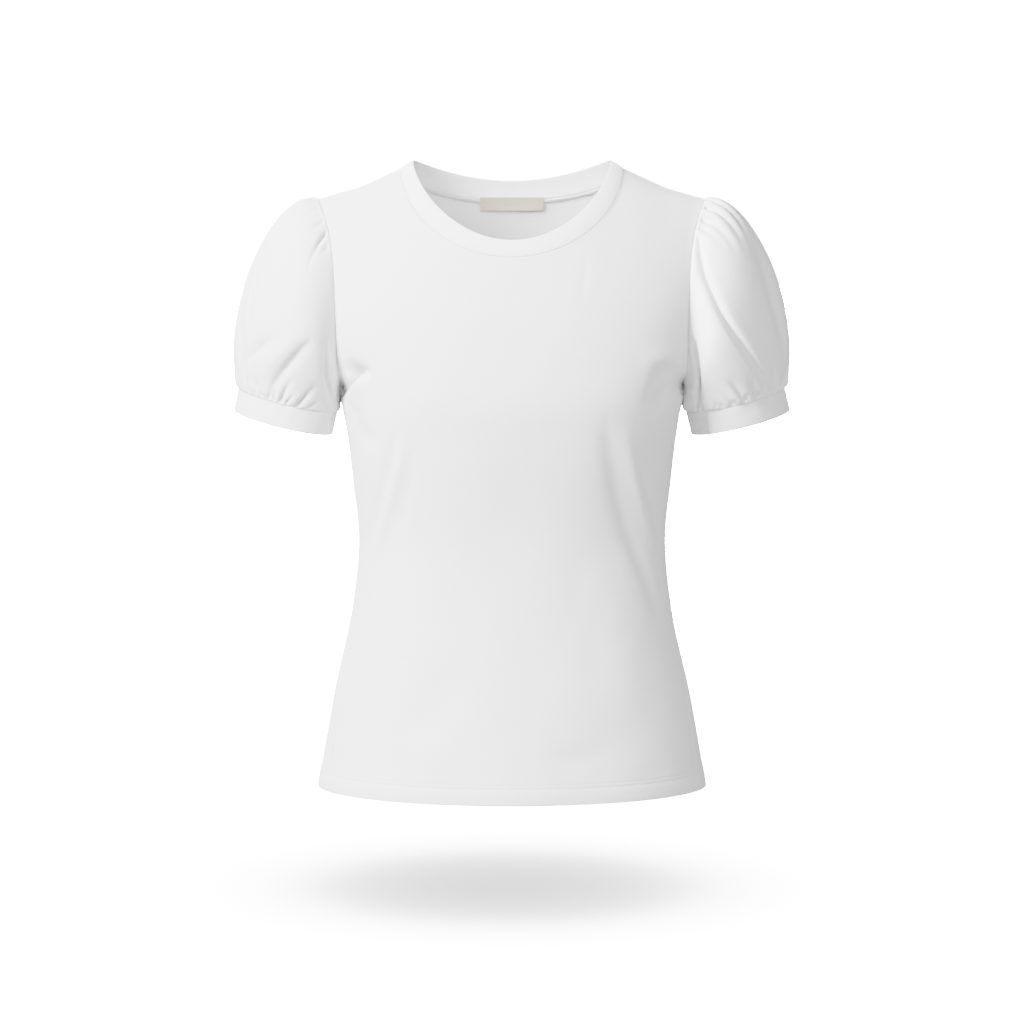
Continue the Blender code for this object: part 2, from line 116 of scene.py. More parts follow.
ARMHOLE = table(
    "z       x",
    (-0.2265, 0.1641),
    (-0.1720, 0.1668),
    (-0.1180, 0.1685),
    (-0.0885, 0.1703),
    (-0.0666, 0.1738),
    (-0.0499, 0.1785),
    (-0.0365, 0.1842),
)
SIDE_SEAM = table(
    "z       angle",
    (-0.6020, 70.0),
    (-0.5000, 78.0),
    (-0.4200, 87.0),
    (-0.3600, 90.0),
    (-0.2265, 90.0),
)
NECK_HALF_WIDTH = 0.1055
NECK_SIDE_Z = -0.0072
NECK_FRONT_Z, NECK_FRONT_POWER = -0.0862, 1.1
NECK_BACK_Z, NECK_BACK_POWER = -0.0418, 1.0
NECK_CROWDING = 1.6
NORMAL_STEP = 1e-5
ROUNDING = 1e-9


def curve(known, values, at):
    """A natural cubic spline through a table's rows, held flat past its ends."""
    at = np.clip(at, known[0], known[-1])
    step = np.diff(known)
    slope = np.diff(values) / step
    size = len(known)
    system = np.eye(size)
    right = np.zeros(size)
    for row in range(1, size - 1):
        system[row, row - 1] = step[row - 1]
        system[row, row] = 2 * (step[row - 1] + step[row])
        system[row, row + 1] = step[row]
        right[row] = 6 * (slope[row] - slope[row - 1])
    bend = np.linalg.solve(system, right)
    cell = np.clip(np.searchsorted(known, at) - 1, 0, size - 2)
    low = (at - known[cell]) / step[cell]
    high = 1 - low
    cubic = (high ** 3 - high) * bend[cell] + (low ** 3 - low) * bend[cell + 1]
    return high * values[cell] + low * values[cell + 1] + step[cell] ** 2 * cubic / 6


def unit(vectors):
    """The vectors at length one."""
    return vectors / np.linalg.norm(vectors, axis=-1, keepdims=True)


def crest_z(x):
    """The height of the shoulder line."""
    return curve(CREST["x"] ** 2, CREST["z"], x ** 2)


def body_size(name, z):
    """One size of the body's section at a height."""
    return curve(BODY["z"], BODY[name], z)


def body_depth(z, back):
    """The depth of the section at its middle."""
    return body_size("back_depth" if back else "front_depth", z)


def body_left(x, z, power):
    """What is left, towards the section's edge and up to the shoulder line, at a point."""
    rise = np.maximum((z - UNDERARM_Z) / (crest_z(x) - UNDERARM_Z), 0.0)
    return (1 - np.abs(x / body_size("half_width", z)) ** power) * (1 - rise ** power)


def body_point(x, z, back):
    """The point of the body's form over x and z, on its front or its back."""
    power = body_size("power", z)
    left = np.maximum(body_left(x, z, power), 0.0)
    y = body_depth(z, back) * left ** (1 / power) * (1 if back else -1)
    return np.stack([x, y, z + 0 * x], axis=-1)


def body_field(points):
    """Negative inside the body's form, zero on it."""
    x, y, z = points[..., 0], points[..., 1], points[..., 2]
    power = body_size("power", z)
    depth = np.where(y > 0, body_depth(z, True), body_depth(z, False))
    return np.abs(y / depth) ** power - body_left(x, z, power)


def body_normal(points):
    """The direction straight out of the body's form."""
    parts = []
    for axis in range(3):
        move = np.zeros(3)
        move[axis] = NORMAL_STEP
        parts.append(body_field(points + move) - body_field(points - move))
    return unit(np.stack(parts, axis=-1))


def section_point(angle, z, back):
    """A point of a section at an angle from its middle. Past 90 degrees it is on the other side."""
    across, along, power = np.sin(angle), np.cos(angle), body_size("power", z)
    stretch = (np.abs(across) ** power + np.abs(along) ** power) ** (-1 / power)
    depth = np.where(along >= 0, body_depth(z, back), body_depth(z, not back))
    x = body_size("half_width", z) * stretch * across
    y = depth * stretch * along * (1 if back else -1)
    return np.stack([x, y, z + 0 * x], axis=-1)


def neck_turn(share):
    """The angle round the neck for a share from 1 at the left shoulder to -1 at the right."""
    away = (1 - np.abs(share)) ** NECK_CROWDING
    return np.pi / 2 * np.where(share >= 0, away, 2 - away)


def neck_seam(turn, back):
    """The seam of the neckband, with turn from 0 at the left shoulder to pi at the right."""
    low, power = (NECK_BACK_Z, NECK_BACK_POWER) if back else (NECK_FRONT_Z, NECK_FRONT_POWER)
    x = NECK_HALF_WIDTH * np.cos(turn)
    return x, NECK_SIDE_Z + (low - NECK_SIDE_Z) * np.abs(np.sin(turn)) ** power


def run_of(points, axis):
    """How far each point lies along its own line of the grid."""
    gone = np.cumsum(np.linalg.norm(np.diff(points, axis=axis), axis=-1), axis=axis)
    start = np.zeros_like(np.take(gone, [0], axis=axis))
    return np.concatenate([start, gone], axis=axis)


def panel_form(back):
    """The rows of a panel from the turned-up edge, down round the fold and up, and how deep each lies."""
    way = 1 if back else -1
    middle = np.linspace(-NECK_SHARE, NECK_SHARE, MIDDLE_COLUMNS + 1)[1:-1]
    outer = np.append(np.linspace(NECK_SHARE, 1, OUTER_COLUMNS + 1), 1 - np.array(EDGE_STEPS))
    side = np.sort(np.concatenate([middle, outer, -outer]))
    hem_z = BODY["z"][0]
    turned = [(z, 2 * HEM_FOLD) for z in np.linspace(hem_z + HEM_DEPTH, hem_z + HEM_FOLD, HEM_ROWS)]
    for angle in np.linspace(0, np.pi, FOLD_ROWS + 1)[1:-1]:
        turned.append((hem_z + HEM_FOLD * (1 - np.sin(angle)), HEM_FOLD * (1 + np.cos(angle))))
    stitch_rows = sorted(hem_z + above + step for above in STITCH_ABOVE_HEM for step in HEM_DENT_ROWS)
    edges = [hem_z + HEM_FOLD, *stitch_rows, hem_z + HEM_DEPTH, UNDERARM_Z]
    levels = []
    for low, high in zip(edges[:-1], edges[1:]):
        count = int(np.ceil((high - low) / ROW_HEIGHT))
        levels += list(np.linspace(low, high, count, endpoint=False))
    rows = []
    for z in [z for z, _ in turned] + levels:
        edge = np.radians(curve(SIDE_SEAM["z"], SIDE_SEAM["angle"], np.array(z)))
        edge = np.pi - edge if back else edge
        rows.append(section_point(side * (edge - SEAM_GAP / 2 / body_depth(z, back)), z, back))

    start = section_point(side * np.pi / 2, UNDERARM_Z, back)[:, 0] / ARMHOLE["x"][0]
    at_neck = np.abs(side) <= NECK_SHARE + ROUNDING
    neck_x, neck_z = neck_seam(neck_turn(np.clip(side / NECK_SHARE, -1, 1)), back)
    out = np.clip((np.abs(side) - NECK_SHARE) / (1 - NECK_SHARE), 0, 1)
    shoulder_x = np.sign(side) * (NECK_HALF_WIDTH + (ARMHOLE["x"][-1] - NECK_HALF_WIDTH) * out)
    top_x = np.where(at_neck, neck_x, shoulder_x)
    top_z = np.where(at_neck, neck_z, crest_z(shoulder_x))
    finish = top_x / curve(ARMHOLE["z"], ARMHOLE["x"], top_z)
    edge_pull = np.abs(side) ** EDGE_HOLD
    for step in range(RISE_ROWS + 1):
        climb = step / RISE_ROWS
        even, slow = np.sin(np.pi / 2 * climb), (1 - np.cos(np.pi * climb)) / 2
        share = (1 - edge_pull) * even + edge_pull * slow
        z = UNDERARM_Z + (top_z - UNDERARM_Z) * share
        x = (start + (finish - start) * share) * curve(ARMHOLE["z"], ARMHOLE["x"], z)
        points = body_point(x, z, back)
        if step == 0:
            edge = np.pi / 2 - SEAM_GAP / 2 / body_depth(z, back)
            points = section_point(side * edge, UNDERARM_Z, back)
        elif step == RISE_ROWS:
            points[np.abs(side) >= NECK_SHARE - ROUNDING, 1] = SEAM_GAP / 2 * way
        else:
            points[[0, -1], 1] += SEAM_GAP / 2 * way
        rows.append(points)
    depths = np.zeros(len(rows))
    depths[:len(turned)] = [inset for _, inset in turned]
    return np.array(rows), depths, len(turned)


# Creases, in millimetres: the points that each runs through (x and z), its half width and its depth
# (a ridge where that is below zero). Last comes the share of the depth that is pushed up beside it as
# a lip, on its left, or on its right where it is negative.
FRONT_CREASES = (
    # under the right arm: the deep fold with its sharp tip, the bulge below it and the dimple
    (((-164, -223), (-160, -215), (-156, -212), (-153.4, -206), (-151, -200.5), (-146.2, -196.8),
      (-139, -196), (-132, -197.5)), 8, 9.4, -0.22),
    (((-164, -222), (-159.2, -214.5), (-155.2, -211.8), (-152.8, -206), (-150.3, -200.8),
      (-145.6, -197.4), (-139, -196.8), (-133.5, -198)), 3.4, 5.6, -0.1),
    (((-166, -212), (-161, -200), (-154, -193), (-144, -192.5)), 9.5, 3.4, 0),
    (((-140, -198), (-149, -207.8), (-155, -218)), 7, -2.4, 0),
    (((-159, -225), (-151, -232), (-143, -237)), 5.6, 2, 0),
    (((-148.1, -247.4), (-138.3, -256.7), (-126.7, -265.1)), 10, 1.8, 0),
    # under the left arm: the ridge that runs in from the armhole and the soft arc below it
    (((158, -180), (146.8, -180.2), (131.4, -183), (119.9, -186.3)), 8, -1.8, 0),
    (((164, -212), (157, -200), (151.5, -195.8), (145.5, -194.8), (139, -197.5), (133.5, -205),
      (129, -215), (123, -230)), 6, 2.6, 0),
    (((160, -204), (148, -209), (137, -222), (129, -238)), 11, 3.4, 0),
    # under the bust, a broad shallow trough
    (((-142.1, -244.5), (-105.5, -251.9), (-58.4, -256), (0, -257.4), (54, -255.9), (101.2, -253.6),
      (129.8, -245)), 24, 1.2, 0),
    # drag folds from the chest to the waist
    (((86, -230), (93.7, -276.5), (102.5, -320.7), (115.8, -361.6), (131.9, -406.6),
      (140, -438)), 8.5, 3.6, 0),
    (((105.4, -246), (116.3, -295.3), (127.8, -340.6), (137.2, -376)), 7, -3.6, 0),
    (((-107.4, -242), (-117.3, -291.5), (-129.3, -337.9), (-137.5, -368.6)), 6.5, 2.2, 0),
    (((-98.9, -243), (-110.1, -294.9), (-123.5, -344.9), (-134.5, -381.3)), 5.5, -2.2, 0),
    (((-88, -260), (-98, -305), (-109, -348)), 6, 1.2, 0),
    # the skirt: a long soft edge, the pull above the hem and faint upright drapes
    (((-43.7, -465), (-68.3, -509.3), (-96, -545)), 24, 3.2, 0),
    (((30, -554.5), (60.1, -559.6), (96, -552)), 11, 1.4, -0.3),
    (((88, -570), (130.7, -573)), 11, -1, 0),
    (((65, -360), (56, -450)), 11, 0.6, 0),
    (((83, -400), (73, -510)), 13, 0.7, 0),
    (((102, -450), (118, -530)), 18, -1.2, 0),
    (((70, -80), (66, -130)), 4, 0.6, 0),
)
BACK_CREASES = (
    (((-164, -213), (-156, -201), (-144, -196), (-132, -199)), 6, 3.6, 0.3),
    (((164, -214), (157, -203), (146, -195), (133, -196)), 6.5, 3.4, -0.3),
    (((160, -225), (149, -231), (140, -240)), 6, 1.6, 0.2),
    (((-100, -230), (-111, -280), (-123, -332)), 8, 1.6, 0.3),
    (((96, -240), (109, -295), (124, -346)), 8.5, 1.8, -0.3),
    # cross folds in the small of the back
    (((-140, -348), (-115, -360), (-86, -369), (-52, -371)), 8, 2.4, 0.35),
    (((140, -356), (116, -370), (88, -380), (56, -383)), 8.5, 2.6, -0.3),
    (((-133, -393), (-108, -403), (-79, -406)), 8, 1.6, 0.3),
    (((136, -406), (115, -417), (92, -421)), 8, 1.4, -0.3),
    (((30, -100), (70, -160), (96, -215)), 16, 1.2, 0),
    (((-50, -110), (-80, -165), (-100, -210)), 15, 1, 0),
    (((-70, -480), (-90, -550)), 14, 1.2, 0),
    (((50, -460), (72, -545)), 15, 1.3, 0),
)
CREASE_STEPS = 96
CREASE_FADE = 0.8
LIP_AT, LIP_WIDTH = 2.0, 1.3
LIP_SIDE = 0.65
# The hollows in front of the underarm points, where cloth sinks in between the sleeve and the side.
HOLLOWS = table(
    "x       y        z        across  along   up      depth",
    (-0.1618, -0.0340, -0.2165, 0.0044, 0.0180, 0.0088, 0.0200),
    (0.1622, -0.0340, -0.2140, 0.0050, 0.0190, 0.0092, 0.0240),
    (0.1570, -0.0380, -0.2110, 0.0058, 0.0220, 0.0078, 0.0240),
)
SWAY_SIZES = (0.21, 0.16, 0.12, 0.09)
SWAY_DEPTH = 0.00028


def hill(away, width=1.0):
    """One at no distance, falling softly to nothing at about twice the width."""
    return np.exp(-(away / width) ** 2)


def falling(past):
    """A soft step from one down to nothing, half way at zero."""
    return (1 - np.tanh(past / 2)) / 2


def through(points):
    """A smooth line through the few points of a crease."""
    points = np.array(points, dtype=float)
    known = np.arange(len(points), dtype=float)
    at = np.linspace(0, known[-1], CREASE_STEPS)
    return curve(known, points[:, 0], at), curve(known, points[:, 1], at)


def creased(cloth, out, creases, place):
    """How far the creases lift the cloth, or press it in, at each of its points."""
    lift = np.zeros(cloth.shape[:-1])
    for points, half_width, depth, lip in creases:
        half_width, depth = half_width * MM, depth * MM
        line = place(*through(points))
        reach = half_width * 4
        inside = np.all((cloth > line.min(axis=0) - reach) & (cloth < line.max(axis=0) + reach), axis=-1)
        spots = cloth[inside]
        gap = np.linalg.norm(spots[:, None] - line[None], axis=-1)
        near = gap.argmin(axis=1)
        away = gap[np.arange(len(spots)), near]
        fade = np.clip(np.sin(np.pi * near / (CREASE_STEPS - 1)), 0, 1) ** CREASE_FADE
        ahead = np.gradient(line, axis=0)[near]
        left = np.sign(np.sum(np.cross(out[inside], ahead) * (spots - line[near]), axis=-1))
        width = half_width * np.where(left * lip > 0, LIP_SIDE, 1.0)
        rise = -depth * hill(away, width)
        beside = (left * np.sign(lip) * away - LIP_AT * half_width) / (LIP_WIDTH * half_width)
        rise += abs(depth * lip) * hill(beside)
        lift[inside] += rise * fade
    return lift


def hollowed(cloth):
    """The cloth with the hollows in front of the underarm points."""
    back = np.zeros(cloth.shape[:-1])
    for x, y, z, across, along, up, depth in zip(*HOLLOWS.values()):
        gap = (cloth - (x, y, z)) / (across, along, up)
        back += depth * hill(np.linalg.norm(gap, axis=-1))
    return cloth + back[..., None] * (0, 1, 0)


def swaying(cloth, seed):
    """The slight unevenness of cloth that hangs free."""
    draws = np.random.default_rng(seed)
    lift = np.zeros(cloth.shape[:-1])
    for size in SWAY_SIZES:
        heading = unit(draws.normal(size=3))
        lift += np.sin(cloth @ heading * 2 * np.pi / size + draws.uniform(0, 2 * np.pi))
    return lift * SWAY_DEPTH


WALE, COURSE = 0.00068, 0.00052
STITCH_SLANT, STITCH_WAVE = -1.4, 0.35
KNIT_WHITE, KNIT_SHADE = (0.872, 0.872, 0.874), (0.852, 0.852, 0.856)


def surface(name, values):
    """A new material, its nodes and its shader, with the values that are the same all over it."""
    made = bpy.data.materials.new(name)
    made.use_nodes = True
    shader = made.node_tree.nodes["Principled BSDF"]
    for slot, value in values.items():
        shader.inputs[slot].default_value = value
    return made, made.node_tree, shader


def pattern(tree, kind, inputs, operation=None):
    """One step of a material's pattern. Each input is a plain value or another step's output."""
    made = tree.nodes.new("ShaderNode" + kind)
    if operation:
        made.operation = operation
    for slot, value in inputs.items():
        if isinstance(value, bpy.types.NodeSocket):
            tree.links.new(value, made.inputs[slot])
        else:
            made.inputs[slot].default_value = value
    return made


def reckon(tree, operation, *values):
    """A sum on the pattern."""
    return pattern(tree, "Math", dict(enumerate(values)), operation).outputs[0]


def grain_of(tree):
    """The place on the cloth, across its grain and along it."""
    made = pattern(tree, "UVMap", {})
    made.uv_map = "grain"
    return made.outputs[0]


def raised(tree, shader, height, strength, depth):
    """The pattern's fine relief."""
    relief = pattern(tree, "Bump", {"Strength": strength, "Distance": depth, "Height": height})
    tree.links.new(relief.outputs[0], shader.inputs["Normal"])


def clouded(tree, shader, noise, stops):
    """The surface's colour, which wanders a little between two shades."""
    place = pattern(tree, "TexCoord", {}).outputs["Object"]
    cloud = pattern(tree, "TexNoise", {"Vector": place, **noise})
    blend = pattern(tree, "ValToRGB", {0: cloud.outputs[0]})
    for element, (position, colour) in zip(blend.color_ramp.elements, stops):
        element.position = position
        element.color = (*colour, 1.0)
    tree.links.new(blend.outputs[0], shader.inputs["Base Color"])


def knit_finish(name, depth):
    """Knitted cotton: columns of small V stitches, soft and matt, with a faint cloudiness."""
    made, tree, shader = surface(name, {"Roughness": 0.88, "Specular IOR Level": 0.25,
                                        "Sheen Weight": 0.12, "Sheen Roughness": 0.6})
    split = pattern(tree, "SeparateXYZ", {0: grain_of(tree)})
    across = reckon(tree, "DIVIDE", split.outputs[0], WALE)
    along = reckon(tree, "DIVIDE", split.outputs[1], COURSE)
    centred = reckon(tree, "SUBTRACT", reckon(tree, "FRACT", across), 0.5)
    slanted = reckon(tree, "MULTIPLY_ADD", reckon(tree, "ABSOLUTE", centred), STITCH_SLANT, along)
    wave = reckon(tree, "SINE", reckon(tree, "MULTIPLY", slanted, 2 * np.pi))
    leg = reckon(tree, "MULTIPLY", reckon(tree, "PINGPONG", across, 0.5), 2 * np.pi)
    loops = reckon(tree, "MULTIPLY_ADD", wave, STITCH_WAVE, reckon(tree, "SINE", leg))
    raised(tree, shader, loops, strength=0.5, depth=depth)
    clouded(tree, shader, {"Scale": 28.0, "Detail": 4.0}, ((0.30, KNIT_SHADE), (0.72, KNIT_WHITE)))
    return made


def mesh_piece(name, points, faces, finish):
    """A new smooth piece from its points and faces."""
    data = bpy.data.meshes.new(name)
    data.from_pydata(points.reshape(-1, 3).tolist(), [], faces)
    data.materials.append(finish)
    data.shade_smooth()
    made = bpy.data.objects.new(name, data)
    bpy.context.scene.collection.objects.link(made)
    return made


def cloth_mesh(name, points, grain, finish, ring=False, flip=False, wall=0.0, loop=False):
    """A cloth piece over a grid of points. A wall gives it thickness on its inner side."""
    rows, columns = points.shape[:2]
    number = np.arange(rows * columns).reshape(rows, columns)
    place = np.arange(grain.shape[0] * grain.shape[1]).reshape(grain.shape[:2])
    if ring:
        number = np.hstack([number, number[:, :1]])
    if loop:
        number = np.vstack([number, number[:1]])
    turns = [(slice(None, -1), slice(None, -1)), (slice(None, -1), slice(1, None)),
             (slice(1, None), slice(1, None)), (slice(1, None), slice(None, -1))]
    turns = turns[::-1] if flip else turns
    faces = np.stack([number[turn] for turn in turns], axis=-1).reshape(-1, 4)
    corners = np.stack([place[turn] for turn in turns], axis=-1).reshape(-1)
    made = mesh_piece(name, points, faces.tolist(), finish)
    on_grain = made.data.uv_layers.new(name="grain").uv
    on_grain.foreach_set("vector", grain.reshape(-1, 2)[corners].ravel())
    if wall:
        thick = made.modifiers.new("wall", "SOLIDIFY")
        thick.thickness = wall
        thick.offset = -1.0
    return made


def panel(name, back, creases, seed, finish):
    """The front's or the back's cloth, and its points and normals from the fold upwards."""
    form, depths, turned = panel_form(back)
    out = body_normal(form)
    lift = creased(form, out, creases, lambda x, z: body_point(x * MM, z * MM, back))
    lift += swaying(form, seed)
    from_side = run_of(form, 1)
    width = from_side[:, -1:]
    to_edge = np.minimum(from_side, width - from_side)
    up = run_of(form[turned:], 0)
    to_edge[turned:] = np.minimum(to_edge[turned:], up[-1:] - up)
    above_hem = form[..., 2] - BODY["z"][0]
    swell = HEM_SWELL * falling((above_hem / HEM_DEPTH - 1) * HEM_SWELL_EDGE)
    for stitched in STITCH_ABOVE_HEM:
        swell -= HEM_DENT * hill(above_hem - stitched, HEM_DENT_WIDTH)
    lift *= 1 - hill(to_edge, SEAM_HOLD)
    lift += swell - SEAM_TUCK * hill(to_edge, SEAM_ROLL) - depths[:, None]
    points = hollowed(form + out * lift[..., None])
    whole_up = run_of(points, 0)
    grain = np.stack([from_side - width / 2, whole_up], axis=-1)
    made = cloth_mesh(name, points, grain, finish, flip=back, wall=JERSEY)
    return made, np.concatenate([points, out], axis=-1)[turned:]


jersey = knit_finish("white_jersey", 0.00005)
front, front_face = panel("front_cloth", False, FRONT_CREASES, 11, jersey)
back, back_face = panel("back_cloth", True, BACK_CREASES, 12, jersey)
for piece, node, width, length, area in ((front, "front_panel", 0.465, 0.665, 0.245),
                                         (back, "back_panel", 0.57, 0.66, 0.270)):
    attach(piece, "root")
    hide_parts(node)

# ---- hem stitching ---------------------------------------------------------------------------
# Twin-needle coverstitch holds the turned-up hem: two rows of short white cotton stitches run
# round the outside, a little below the top of the turned-up edge.
STITCH_PITCH = 0.0029
STITCH_LENGTH = 0.0024
THREAD_RADIUS = 0.00016
THREAD_SIDES = 5
STITCH_ARCH = table(
    "share  height  width",
    (0.00, -0.9, 0.5),
    (0.18, 0.5, 1.0),
    (0.50, 0.8, 1.0),
    (0.82, 0.5, 1.0),
    (1.00, -0.9, 0.5),
)
THREAD_SHADE = 0.93


def thread_finish(name, colour):
    """Twisted cotton sewing thread."""
    made, tree, shader = surface(name, {"Roughness": 0.6, "Specular IOR Level": 0.3})
    shade = [part * THREAD_SHADE for part in colour]
    clouded(tree, shader, {"Scale": 900.0}, ((0.0, shade), (1.0, colour)))
    return made


def threads(name, rows, widths):
    """Many short threads as one mesh, each a small closed tube along its own points."""
    lines, outs = [np.concatenate(part) for part in zip(*rows)]
    count, steps = lines.shape[:2]
    ahead = unit(np.gradient(lines, axis=1))
    beside = unit(np.cross(ahead, outs))
    over = np.cross(beside, ahead)
    angle = np.linspace(0, 2 * np.pi, THREAD_SIDES, endpoint=False)
    ring = np.cos(angle)[:, None] * beside[:, :, None] + np.sin(angle)[:, None] * over[:, :, None]
    points = lines[:, :, None] + ring * widths[None, :, None, None]
    number = np.arange(count * steps * THREAD_SIDES).reshape(count, steps, THREAD_SIDES)
    after = np.roll(number, -1, axis=2)
    sides = np.stack([number[:, :-1], after[:, :-1], after[:, 1:], number[:, 1:]], axis=-1)
    faces = sides.reshape(-1, 4).tolist()
    faces += number[:, 0, ::-1].tolist() + number[:, -1].tolist()
    return mesh_piece(name, points, faces, cotton_thread)


def along_line(line, gone, at):
    """Points of a line at distances along it."""
    return np.stack([np.interp(at, gone, line[:, axis]) for axis in range(line.shape[1])], axis=-1)


def stitch_lines(line, pitch=STITCH_PITCH, length=STITCH_LENGTH):
    """A row of stitches along a line of a cloth, as points and the directions out of the cloth."""
    gone = run_of(line[:, :3], 0)
    starts = np.arange(pitch / 2, gone[-1] - length, pitch)
    spots = [along_line(line, gone, starts + share * length) for share in STITCH_ARCH["share"]]
    spots = np.stack(spots, axis=1)
    outs = unit(spots[..., 3:])
    return spots[..., :3] + outs * STITCH_ARCH["height"][:, None] * THREAD_RADIUS, outs


stitch_widths = STITCH_ARCH["width"] * THREAD_RADIUS
cotton_thread = thread_finish("white_thread", (0.90, 0.90, 0.90))
hem_rows = []
for face in (front_face, back_face):
    heights = face[:, face.shape[1] // 2, 2]
    for above in STITCH_ABOVE_HEM:
        row = np.abs(heights - BODY["z"][0] - above).argmin()
        hem_rows.append(stitch_lines(face[row]))
hem_stitches = threads("hem_stitches", hem_rows, stitch_widths)
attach(hem_stitches, "root")

# ---- sleeves ---------------------------------------------------------------------------------
# Each short puff sleeve is one wide piece of the same jersey, gathered over the shoulder into the
# armhole and again into the cuff. Its underarm seam is short, so the cloth puffs up and outwards.
SLEEVE_LEAVE_TOP = (0.1395, 0.0, 0.0280)
SLEEVE_LEAVE_BOTTOM = (0.0020, 0.0, -0.0095)
SLEEVE_LEAVE_SIDE = (0.0160, 0.0780, -0.0300)
SLEEVE_ARRIVE_TOP = (-0.0590, 0.0, -0.1940)
SLEEVE_ARRIVE_BOTTOM = (0.0030, 0.0, -0.0103)
SLEEVE_ARRIVE_SIDE = (0.0200, -0.0560, -0.0550)
CUFF_TOP = (0.2142, 0.0, -0.2280)
CUFF_RADIUS = 0.0482
CUFF_DEPTH_RADIUS = 0.0490
CUFF_HEIGHT = 0.0225
CUFF_TILT, CUFF_PITCH, CUFF_YAW = 12.5, 4.0, 9.0
SLEEVE_COLUMNS = 300
SLEEVE_ROWS = 112
SLEEVE_CROWDING = 0.12
SEAM_RIDGE = {"left": 0.0008, "right": 0.0003}
RIDGE_FROM, RIDGE_TO, RIDGE_EDGE = 0.0014, 0.0062, 0.0009
RIDGE_NEEDS = 0.05
PINCH = 0.0026
GATHER_SPREAD, GATHER_FADE = 0.9, 1.3
CUFF_PRESS = {"left": 1.45, "right": 1.25}
CUFF_PUFF = 0.0020
PUFF_FROM, PUFF_TO = 0.0022, 0.0130
UNDERARM_ROUND, UNDERARM_TUCK = 0.36, 0.00021
GRAIN_ROUND = 0.44

# Gathers that start at a seam: the angle round the sleeve (0 on top and outward, 90 in front), how
# far that drifts, the length, the half width in degrees and the depth. Lengths and depths are in mm.
CAP_GATHERS = {
    "left": (
        (9, 17, 66, 2.1, 4.4), (21.5, 13, 62, 2.2, 5), (29, 9, 30, 1.6, 2.6), (35.5, 7, 50, 2.2, 4.6),
        (42.5, 5, 34, 1.9, 3.8), (50, 6, 18, 1.6, 2.2), (0, 4, 60, 2.2, 3), (351, -4, 55, 2.4, 3.6),
        (340, -6, 46, 2.4, 4), (329, -6, 36, 2.2, 3.4), (318, -6, 30, 2.2, 3), (306, -5, 20, 2, 2.2),
    ),
    "right": (
        (6, 2, 44, 2.2, 2.2), (14, 6, 30, 2, 1.8), (22, 10, 26, 2, 2), (30, 6, 20, 1.8, 1.8),
        (37, 6, 22, 1.8, 3.4), (46, 18, 30, 1.5, 6.2), (55, 6, 16, 1.8, 1.6), (355, -2, 48, 2.4, 3),
        (344, -5, 50, 2.6, 3.8), (333, -4, 40, 2.4, 4), (321, -6, 34, 2.2, 3.2), (310, -6, 26, 2.2, 2.4),
    ),
}
CUFF_GATHERS = {
    "left": (
        (12, 1, 30, 2.4, 4), (22, -2, 24, 2, 2.6), (32, 12, 36, 2.5, 5), (41, 10, 22, 1.8, 3.6),
        (49, 7, 19, 1.7, 4), (55, 6, 14, 1.5, 3.4), (61, 9, 27, 2.1, 4.8), (67, 8, 14, 1.6, 3),
        (72, 22, 34, 2.6, 3.2), (84, 20, 20, 2.4, 2.4), (98, 14, 16, 2.4, 2), (240, -6, 16, 2.8, 2.2),
        (254, -8, 26, 3, 3.4), (268, -8, 36, 3, 4.4), (282, -3, 30, 2.8, 3.6), (296, 2, 40, 2.8, 4.4),
        (310, 4, 26, 2.6, 3.6), (324, 6, 44, 3, 4.4), (340, 4, 30, 2.6, 3.6), (354, 2, 24, 2.4, 2.8),
    ),
    "right": (
        (8, 8, 30, 2.6, 3.2), (20, 6, 26, 2.4, 2.6), (31, 4, 22, 2.2, 2.8), (42, 6, 20, 2, 2.6),
        (53, -9, 22, 2, 3.4), (60, 6, 14, 1.6, 2.4), (66, 7, 20, 1.8, 3.4), (73, 17, 34, 2.2, 4.8),
        (80, 12, 16, 1.7, 3), (92, 26, 32, 2.6, 4.8), (104, 20, 16, 2.4, 2.4), (236, -6, 16, 2.8, 2.4),
        (250, -8, 24, 2.8, 3.2), (264, -8, 34, 3, 4.2), (279, -4, 28, 2.8, 3.6), (292, 2, 42, 3, 4.6),
        (307, 6, 26, 2.6, 3.4), (320, 4, 38, 3, 4.2), (336, 4, 30, 2.8, 3.4), (352, 3, 26, 2.4, 2.8),
    ),
}
